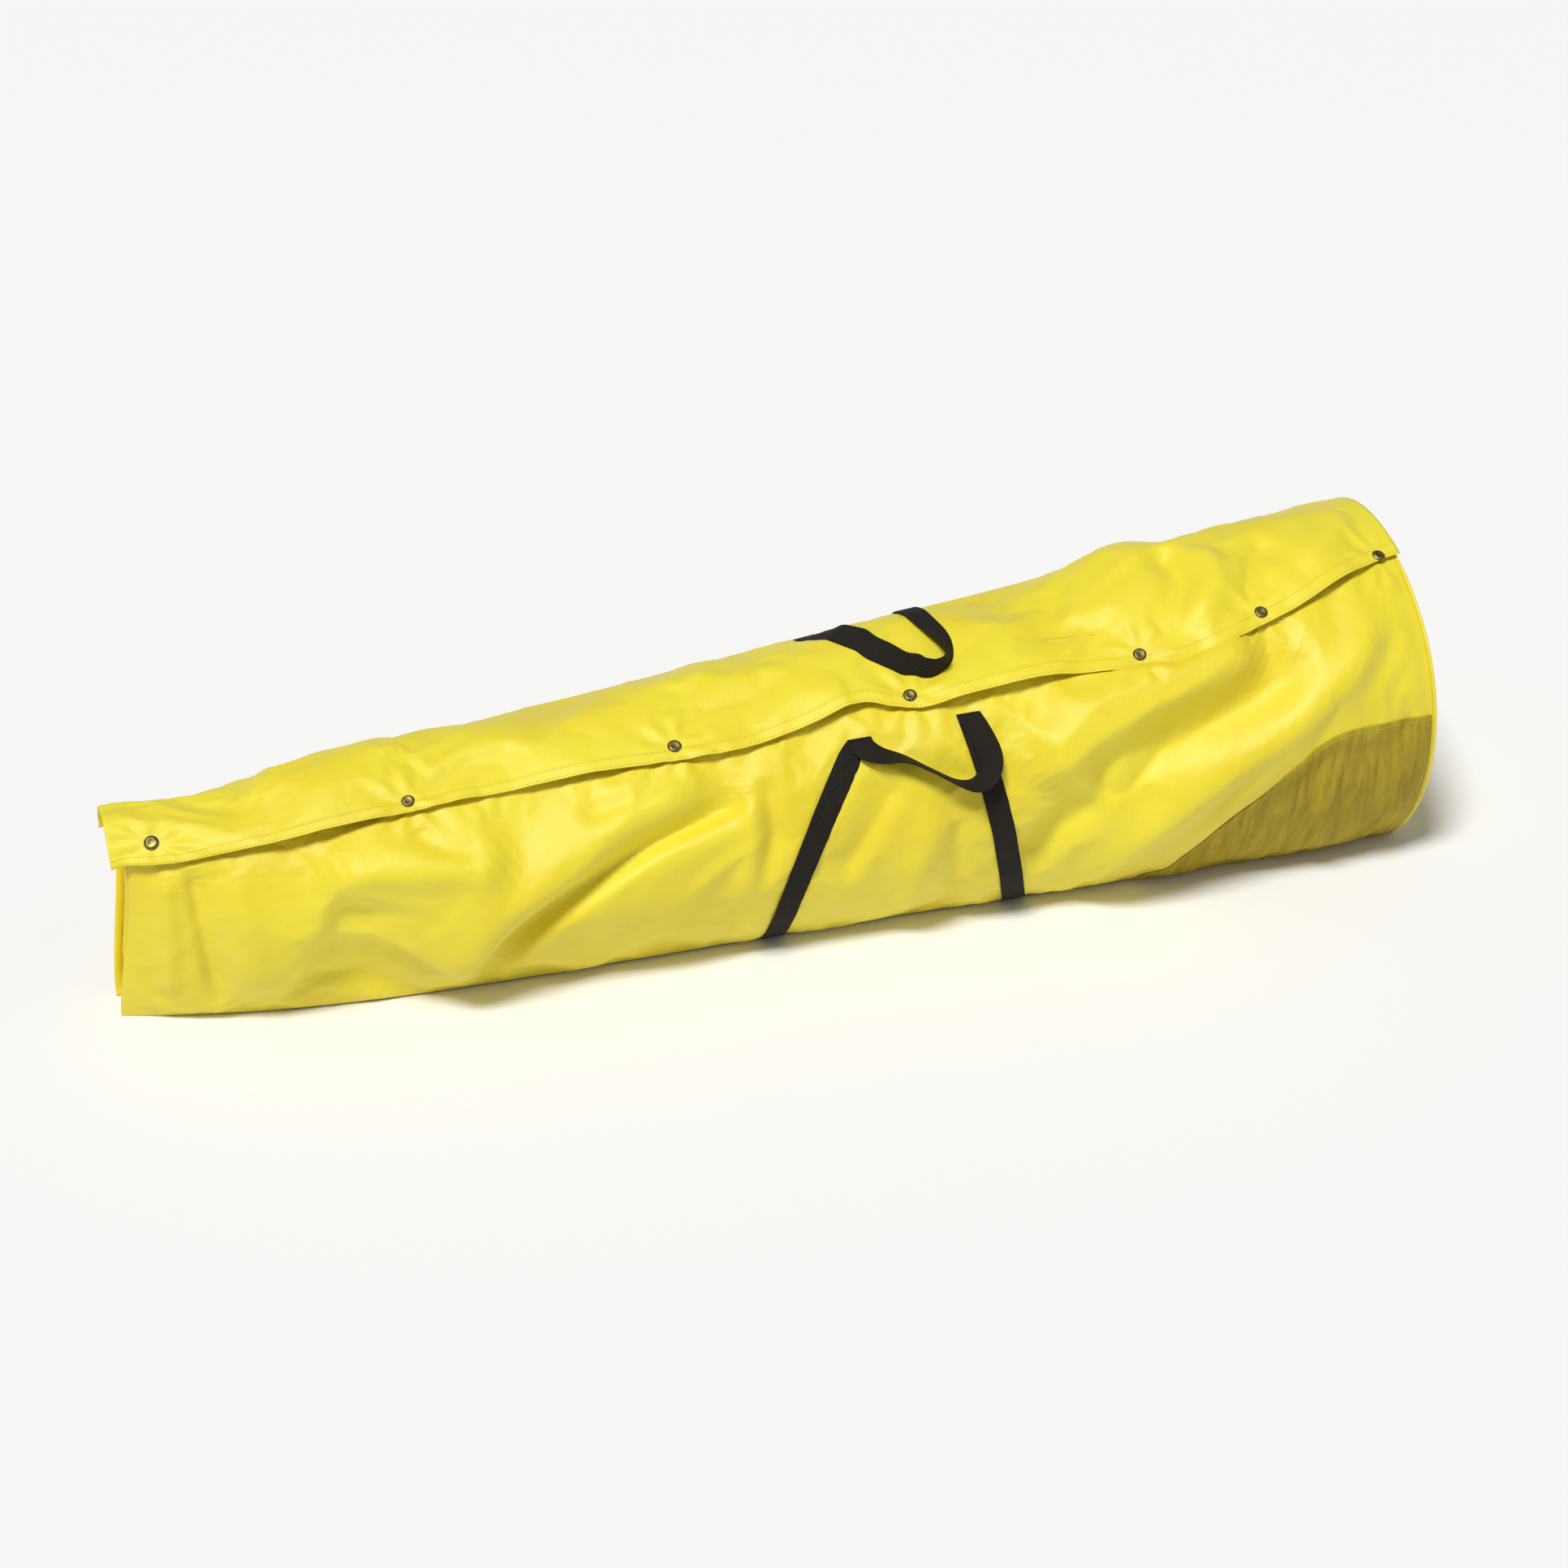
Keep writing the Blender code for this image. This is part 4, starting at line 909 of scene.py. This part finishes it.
def make_base(look):
    xs = np.linspace(-BAG_LENGTH / 2 + 0.010, BAG_LENGTH / 2 - 0.004, 240)
    front, back = skin(xs, -BASE_ANGLE), skin(xs, math.pi + BASE_ANGLE)
    shares = np.linspace(0.0, 1.0, 40)[None, :, None]
    inset = np.array([0, 0.0030, 0])
    points = (front[:, None] + inset) * (1 - shares) + (back[:, None] - inset) * shares
    points[..., 2] += 0.0001
    base = grid_object("base_cloth", points, points[..., 0], points[..., 1], CLOTH, side=1)
    finish_piece(base, look["bag_cloth"], "bag", ["base_panel"])


def make_flap(look):
    """One cloth from its seam on the back, over the fold and the top, down to its hemmed free edge."""
    low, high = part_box("flap")
    xs = np.linspace(low.x, high.x, 430)
    behind = 0.014 / GIRTH_RADIUS
    shares = np.concatenate([np.linspace(0, 0.12, 24)[:-1], np.linspace(0.12, 1, 84)])
    edge = flap_edge(xs)
    rows = edge[:, None] + (FOLD_ANGLE + behind - edge[:, None]) * shares
    flap, points = skin_sheet("flap_cloth", xs, rows, flap_out)
    flap.data.materials.append(look["flap_cloth"])
    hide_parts("flap")
    hinge = next(j for j in frame["joints"] if j["name"] == "flap_open")
    forward = unit(skin(0.0, FOLD_ANGLE - 0.05) - skin(0.0, FOLD_ANGLE + 0.05))
    axis = unit(np.array(hinge["axis"]))
    forward -= axis * forward.dot(axis)
    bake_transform(flap)
    kind = dict(spacing=0.0045, length=0.0034)
    for row, behind_fold in (("upper", 0.0095), ("lower", 0.0120)):
        angles = np.full_like(xs, FOLD_ANGLE + behind_fold / GIRTH_RADIUS)
        skin_seam(f"seam_stitches_{row}", xs, angles, flap_out, look["yellow_thread"], "bag", **kind)
    for row, down in (("outer", 0.0025), ("inner", HEM - 0.0020)):
        angles = edge + down / GIRTH_RADIUS
        skin_seam(f"flap_stitches_{row}", xs, angles, flap_out, look["yellow_thread"], "flap", **kind)


def end_outline(x, inset, count):
    """The bag's section at x, from the front base corner over the top to the back one."""
    angles = np.linspace(-BASE_ANGLE, math.pi + BASE_ANGLE, count)
    outline = skin(np.full(count, x), angles, np.full(count, -inset))
    outline[:, 0] = x
    return outline


def end_points(x, outline, bulge, outwards):
    """Rings of an end cloth from its seam to its middle, domed by bulge and puckered along the seam."""
    centre = outline.mean(axis=0)
    turn = np.linspace(0, 1, len(outline))
    points = []
    for share in np.linspace(1.0, 0.02, 60):
        ring = centre + (outline - centre) * share
        within = step(0, 0.30, 1 - share)
        ripple = 0.0022 * lattice_noise(ring[:, 1] * 14 + 7, ring[:, 2] * 14 + 3, 55) * within
        near_seam = np.exp(-(((1 - share - 0.07) / 0.05) ** 2))
        gathers = 0.0011 * lattice_noise(turn * 70 + 2, np.full(len(turn), 0.5), 57) * near_seam
        ring[:, 0] = x + outwards * (bulge * (1 - share**2.2) + ripple + gathers)
        points.append(ring)
    points = np.array(points)
    points[..., 2] = np.maximum(points[..., 2], 0.0018)
    points[..., 0] += end_lean(points[..., 0], points[..., 2])
    return points


def make_end(name, node, x, bulge, outwards, look):
    """A cloth across the bag's end, with a row of stitches beside its seam."""
    points = end_points(x, end_outline(x, CLOTH + 0.0008, 160), bulge, outwards)
    closed = np.concatenate([points, points[:, :1]], axis=1)
    turned = closed if outwards > 0 else closed[:, ::-1]
    end = grid_object(name, turned, closed[..., 1], closed[..., 2], CLOTH)
    shape = bmesh.new()
    shape.from_mesh(end.data)
    bmesh.ops.remove_doubles(shape, verts=shape.verts, dist=1e-6)
    middle = Vector(points[-1].mean(axis=0))
    size = max((Vector(p) - middle).length for p in points[-1]) + 1e-4
    inner = [e for e in shape.edges if e.is_boundary]
    hole = [e for e in inner if all((v.co - middle).length < size for v in e.verts)]
    bmesh.ops.contextual_create(shape, geom=hole)
    bmesh.ops.recalc_face_normals(shape, faces=shape.faces)
    if sum(f.normal.x * f.calc_area() for f in shape.faces) * outwards < 0:
        bmesh.ops.reverse_faces(shape, faces=shape.faces)
    shape.to_mesh(end.data)
    shape.free()
    end.data.shade_smooth()
    finish_piece(end, look["bag_cloth"], "bag", [node])
    row = points[3]
    normals = np.repeat([[outwards, 0.0, 0.0]], len(row), axis=0)
    stitches(f"{name}_stitches", row, normals, look["yellow_thread"], "bag", spacing=0.0050, length=0.0036)


def make_piping(name, x, inset, look):
    """A piped seam round the bag's section at x."""
    angles = np.linspace(-BASE_ANGLE, math.pi + BASE_ANGLE, 220)
    path = skin(np.full(220, x), angles, np.full(220, -inset))
    tube(name, path, PIPING_RADIUS, look["bag_cloth"], "bag")


def make_patch(look):
    """The patch on the lower front of the wide end, with its slanted and level edges; its dark colour is painted
    shade for the underside below the overhanging fold.
    """
    slant = [(0.372, -49.0), (0.4380, -17.0), (0.487, -5.0), (0.520, 4.5), (0.556, 12.0), (0.600, 14.0),
             (0.681, 13.5)]
    xs = np.linspace(0.374, 0.681, 150)
    tops = np.radians(smooth(slant, xs))
    foot = -BASE_ANGLE + math.radians(2)
    shares = np.linspace(0, 1, 70)
    rows = foot + (tops[:, None] - foot) * shares
    patch_out = lambda x, angle: front_out(x, angle) + PATCH_LIFT
    # this sheet carries painted shade: its dark colour stands for the shadow under the fold above it
    patch, points = skin_sheet("patch_cloth", xs, rows, patch_out)
    finish_piece(patch, look["patch_cloth"], "bag", ["corner_patch"])
    skin_seam("patch_stitches", xs, tops - 0.004 / GIRTH_RADIUS, patch_out, look["yellow_thread"], "bag")


# -------- webbing


def strap_run(strap, angle, front):
    """x of the middle of a strap at an angle, on its front or back run."""
    base, top = x_at(strap["base"]), x_at(strap["top"])
    start = -BASE_ANGLE if front else math.pi + BASE_ANGLE
    end = STRAP_FRONT_TOP if front else FOLD_ANGLE
    share = np.clip((angle - start) / (end - start), 0, 1)
    if front:
        share = share - strap["bow"] * share * (1 - share)
    return base + (top - base) * share


def make_strap(name, strap, look):
    """One length of webbing: down the front, under the base and up the back."""
    half = WEBBING / 2 + STRAP_GAP
    front = np.linspace(STRAP_FRONT_TOP, -BASE_ANGLE + 0.05, 60)
    back = np.linspace(math.pi + BASE_ANGLE - 0.05, STRAP_BACK_TOP, 60)
    x_front, x_back = strap_run(strap, front, True), strap_run(strap, back, False)
    beside = [front_out(x_front + side * WEBBING_WIDTH / 2, front) for side in (-1, -0.5, 0.5, 1)]
    clear = 1 - step(*HANDLE_FOOT, front)
    middle_out = front_out(x_front, front)
    over_edges = clear * np.maximum(0, np.maximum.reduce(beside) - middle_out)
    out_front = np.maximum(middle_out + over_edges, -UNDER_SKIN) + half
    out_back = np.maximum(back_out(x_back, back), -BACK_UNDER_SKIN) + half
    x = x_at(strap["base"])
    edge_front, edge_back = skin(x, -BASE_ANGLE), skin(x, math.pi + BASE_ANGLE)
    under = np.array([(x, y, half) for y in np.linspace(edge_front[1] + 0.004, edge_back[1] - 0.004, 12)])
    centres = np.concatenate([skin(x_front, front, out_front), under, skin(x_back, back, out_back)])
    ahead = np.gradient(centres, axis=0)
    middle = np.array([x, 0, bag_height(np.array(x)) * BELLY_SHARE])
    normals = centres - middle
    normals[:, 0] = 0
    acrosses = unit(np.cross(ahead, normals))
    square = np.array([math.copysign(1, acrosses[0, 0]), 0, 0])
    for row, share in enumerate((1.0, 0.8, 0.6, 0.4, 0.2)):
        acrosses[row] = acrosses[row] * (1 - share) + square * share
    piece = ribbon(f"{name}_webbing", centres, acrosses)
    finish_piece(piece, look["webbing"], "bag", [name])
    count = len(front)
    ends = (("front", slice(0, count), slice(4, 14), front, x_front),
            ("back", slice(-count, None), slice(-9, -1), back, x_back))
    for end, side, use, angles, xs in ends:
        sewn = f"{name}_{end}_stitches"
        box_stitch(sewn, centres[side][use], acrosses[side][use], angles[use], xs[use], look)


def box_stitch(name, centres, acrosses, angles, xs, look):
    """A box of stitches with a cross in it, where a strap's end is sewn down."""
    acrosses = unit(acrosses)
    kind = dict(spacing=0.0032, length=0.0025)
    normals = skin_normal(xs, angles)
    top = centres + normals * (WEBBING / 2)
    side = WEBBING_WIDTH / 2 - 0.0035
    left, right = top - acrosses * side, top + acrosses * side
    shares = np.linspace(-1, 1, len(top))[:, None]
    cross_a, cross_b = top + acrosses * side * shares, top - acrosses * side * shares
    runs = [left, right[::-1], cross_a, cross_b,
            np.linspace(left[0], right[0], 8), np.linspace(left[-1], right[-1], 8)]
    for number, run in enumerate(runs, 1):
        lift = normals[: len(run)] if len(run) == len(normals) else np.repeat(normals[:1], len(run), axis=0)
        stitches(f"{name}_{number}", run, lift, look["black_thread"], "bag", **kind)


def smooth_path(path, count):
    """count points on a smooth curve through path's points."""
    spots = np.array(path, float)
    ends = np.vstack([2 * spots[0] - spots[1], spots, 2 * spots[-1] - spots[-2]])
    made = []
    for t in np.linspace(0, len(spots) - 1, count):
        i = min(int(t), len(spots) - 2)
        u = t - i
        a, b, c, d = ends[i : i + 4]
        bend, twist = (2 * a - 5 * b + 4 * c - d) * u**2, (3 * b - a - 3 * c + d) * u**3
        made.append(0.5 * (2 * b + (c - a) * u + bend + twist))
    return np.array(made)


def make_handle(name, body, stations, look):
    """A hand loop through (x, angle, turn, lift) stations. The first and last lie flat."""
    x, angle, turn, lift = np.array(stations).T
    centres = skin(x, angle, lift)
    ahead = np.gradient(centres, axis=0)
    outward = skin_normal(x, angle)
    flat = unit(np.cross(ahead, outward))
    lean = np.radians(turn)[:, None]
    acrosses = flat * np.cos(lean) + outward * np.sin(lean)
    swing = unit(centres[-1] - centres[0])
    for end in (0, -1):
        acrosses[end] = math.copysign(1, acrosses[end].dot(swing)) * swing
    piece = ribbon(f"{name}_loop", centres, acrosses)
    finish_piece(piece, look["webbing"], body, [name])


def over(turn, extra, under):
    """Height of turned webbing's middle that keeps its lower edge clear of what it lies on."""
    edge = WEBBING_WIDTH / 2 * np.sin(np.radians(np.abs(turn)))
    return under + HANDLE_GAP + edge + WEBBING / 2 + extra


def front_handle_stations(count=140):
    share, angle, turn, extra = smooth_path(FRONT_HANDLE, count).T
    x, angle = x_at(share), np.radians(angle)
    return list(zip(x, angle, turn, over(turn, extra, STRAP_GAP + WEBBING)))


def rear_handle_stations(count=140):
    made = []
    for share, ahead, turn in smooth_path(REAR_HANDLE, count):
        x = x_at(share)
        angle = angle_after(x, FOLD_ANGLE, -ahead)
        cloth = float(flap_out(np.array([x]), np.array([angle]))[0])
        made.append((x, angle, turn, over(turn, 0.0, cloth)))
    return made


# -------- snaps


# Turned profiles, as radius and height in millimetres: the cap over its rim, the stud over its foot
CAP_HEIGHT = 0.0024
SNAP_CAP = [(0, 1.9), (3.0, 2.0), (4.4, 2.4), (5.2, 2.3), (6.0, 1.7), (6.8, 1.2), (7.3, 0.6), (7.5, 0.2),
            (7.3, 0), (2.0, 0), (2.0, -2.8), (5.4, -2.8), (5.6, -3.4), (5.4, -4.6), (3.5, -4.6), (3.3, -3.4),
            (0, -3.4)]
SNAP_STUD = [(0, 6.6), (1.6, 6.6), (2.6, 6.2), (2.8, 5.4), (2.4, 4.6), (2.6, 4.0), (5.2, 3.8), (5.6, 3.4),
             (5.2, 3.1), (2.0, 3.1), (2.0, 0.9), (5.4, 0.8), (5.6, 0.3), (0, 0)]


def snap_axis(number):
    """Foot and direction of a snap, from its cap and its stud in the frame."""
    cap = np.array([v.co for v in frame["nodes"][f"snap_cap_{number}"].data.vertices])
    stud = np.array([v.co for v in frame["nodes"][f"snap_stud_{number}"].data.vertices])
    top, foot = cap.mean(axis=0), stud.mean(axis=0)
    direction = (top - foot) / np.linalg.norm(top - foot)
    return foot, direction, float((cap @ direction).max()), float((stud @ direction).min())


def make_snap(number, look):
    """A rolled cap with a ring round a shallow dish, and the stud under it."""
    foot, out, cap_top, stud_low = snap_axis(number)
    along = float(foot @ out)
    halves = (
        ("snap_top", "snap_cap", "flap", SNAP_CAP, cap_top - along - CAP_HEIGHT),
        ("snap_post", "snap_stud", "bag", SNAP_STUD, stud_low - along),
    )
    for name, node, body, profile, level in halves:
        turned = [(radius / 1000, level + height / 1000) for radius, height in profile]
        piece = lathe(f"{name}_{number}", turned, foot, out)
        finish_piece(piece, look["snap_metal"], body, [f"{node}_{number}"])


# -------- packed kit


def make_kit(look):
    """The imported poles, hoops and windsock keep their solids where those are right."""
    slots = {part["node"]: part["material_slot"] for part in frame["record"]["subparts"]}
    for name, node in frame["nodes"].items():
        if node.hide_render or slots[name] not in ("pole_aluminium", "frame_steel"):
            continue
        for index in range(len(node.data.materials)):
            node.data.materials[index] = look[slots[name]]
        if not node.data.materials:
            node.data.materials.append(look[slots[name]])


def make_windsock(look):
    """The windsock's cloth, gathered in long pleats over the poles."""
    solid = frame["nodes"]["windsock_cloth"]
    co = np.array([v.co for v in solid.data.vertices])
    xs = np.linspace(co[:, 0].min() + 0.003, co[:, 0].max() - 0.002, 160)
    rings = [(x, co[np.abs(co[:, 0] - x) < 1e-3]) for x in np.unique(co[:, 0].round(4))]
    tall = [(x, ring[:, 2].max()) for x, ring in rings]
    low = [(x, ring[:, 2].min()) for x, ring in rings]
    wide = [(x, ring[:, 1].max()) for x, ring in rings]
    sides = 200
    turn = np.linspace(0, 2 * math.pi, sides + 1)[None, :]
    x = np.repeat(xs[:, None], sides + 1, axis=1)
    half, top, foot = smooth(wide, xs)[:, None], smooth(tall, xs)[:, None], smooth(low, xs)[:, None]
    pleats = 0.5 + 0.5 * np.sin(turn * 17 + 2.5 * lattice_noise(x * 6 + 3, turn * 0.6, 91) + x * 9)
    pleats = np.concatenate([pleats[:, :-1], pleats[:, :1]], axis=1)
    inwards = 0.94 - 0.07 * pleats
    sag = 1.15
    rise = np.maximum(0, 1 + sag * np.sin(turn) * inwards) / (1 + sag)
    z = foot + 0.0012 + (top - foot - 0.003) * rise
    points = np.stack([x, half * np.cos(turn) * inwards, z], axis=-1)
    points[:, -1] = points[:, 0]
    close = step(0, 0.06, (xs - xs[0]) / (xs[-1] - xs[0]))[:, None]
    points[..., 1] *= 0.2 + 0.8 * close
    piece = grid_object("windsock_bundle", points, x, turn.repeat(len(xs), axis=0) * 0.08, 0.0010)
    finish_piece(piece, look["windsock_cloth"], "bag", ["windsock_cloth"])


# -------- stage


def make_camera():
    turn, rise = math.radians(-17.97), math.radians(32)
    back = Vector((math.sin(turn) * math.cos(rise), -math.cos(turn) * math.cos(rise), math.sin(rise)))
    scale = BAG_LENGTH / 1.22
    aim_height, distance = 0.12 * scale, 3.0 * scale
    data = bpy.data.cameras.new("camera")
    data.lens = 72.9
    data.sensor_width = 36
    data.shift_x, data.shift_y = 0.0057, -0.0016
    camera = in_scene("camera", data)
    camera.location = Vector((0, 0, aim_height)) + back * distance
    camera.rotation_euler = back.to_track_quat("Z", "Y").to_euler()
    bpy.context.scene.camera = camera


def add_light(name, direction, strength, softness):
    """A far, soft studio light shining along direction. softness is its width in degrees."""
    data = bpy.data.lights.new(name, "SUN")
    data.energy = strength
    data.angle = math.radians(softness)
    light = in_scene(name, data)
    light.rotation_euler = (-Vector(direction)).to_track_quat("Z", "Y").to_euler()


def make_stage():
    half, level = 150, -0.0005
    corners = [(-half, -half, level), (half, -half, level), (half, half, level), (-half, half, level)]
    floor = new_object("floor", corners, [(0, 1, 2, 3)])
    material, _, shader = new_material("floor")
    put(shader, Base_Color=(0.90, 0.90, 0.90, 1), Roughness=0.9)
    floor.data.materials.append(material)
    world = bpy.data.worlds.new("studio")
    world.use_nodes = True
    put(world.node_tree.nodes["Background"], Color=(1, 1, 1, 1), Strength=0.22)
    bpy.context.scene.world = world
    add_light("key", (0.38, 0.32, -1.0), 2.75, 16)
    add_light("fill", (-0.9, 0.8, -0.6), 0.22, 60)
    bpy.context.scene.view_settings.view_transform = "Standard"


def main():
    make_camera()
    make_stage()
    look = make_materials()
    slacken_front()
    slacken_flap()
    make_front(look)
    make_back(look)
    make_base(look)
    make_flap(look)
    narrow_x, wide_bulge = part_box("narrow_end_panel")[0].x + 0.001, 0.0115
    make_end("narrow_end_cloth", "narrow_end_panel", narrow_x, 0.0, -1, look)
    make_end("wide_end_cloth", "wide_end_panel", BAG_LENGTH / 2, wide_bulge, 1, look)
    make_piping("wide_end_piping", BAG_LENGTH / 2 + 0.0012, 0.0010, look)
    make_patch(look)
    make_strap("strap_left", STRAP_LEFT, look)
    make_strap("strap_right", STRAP_RIGHT, look)
    make_handle("front_handle", "front_handle", front_handle_stations(), look)
    make_handle("rear_handle", "rear_handle", rear_handle_stations(), look)
    for number in range(1, 8):
        make_snap(number, look)
    make_windsock(look)
    make_kit(look)


main()
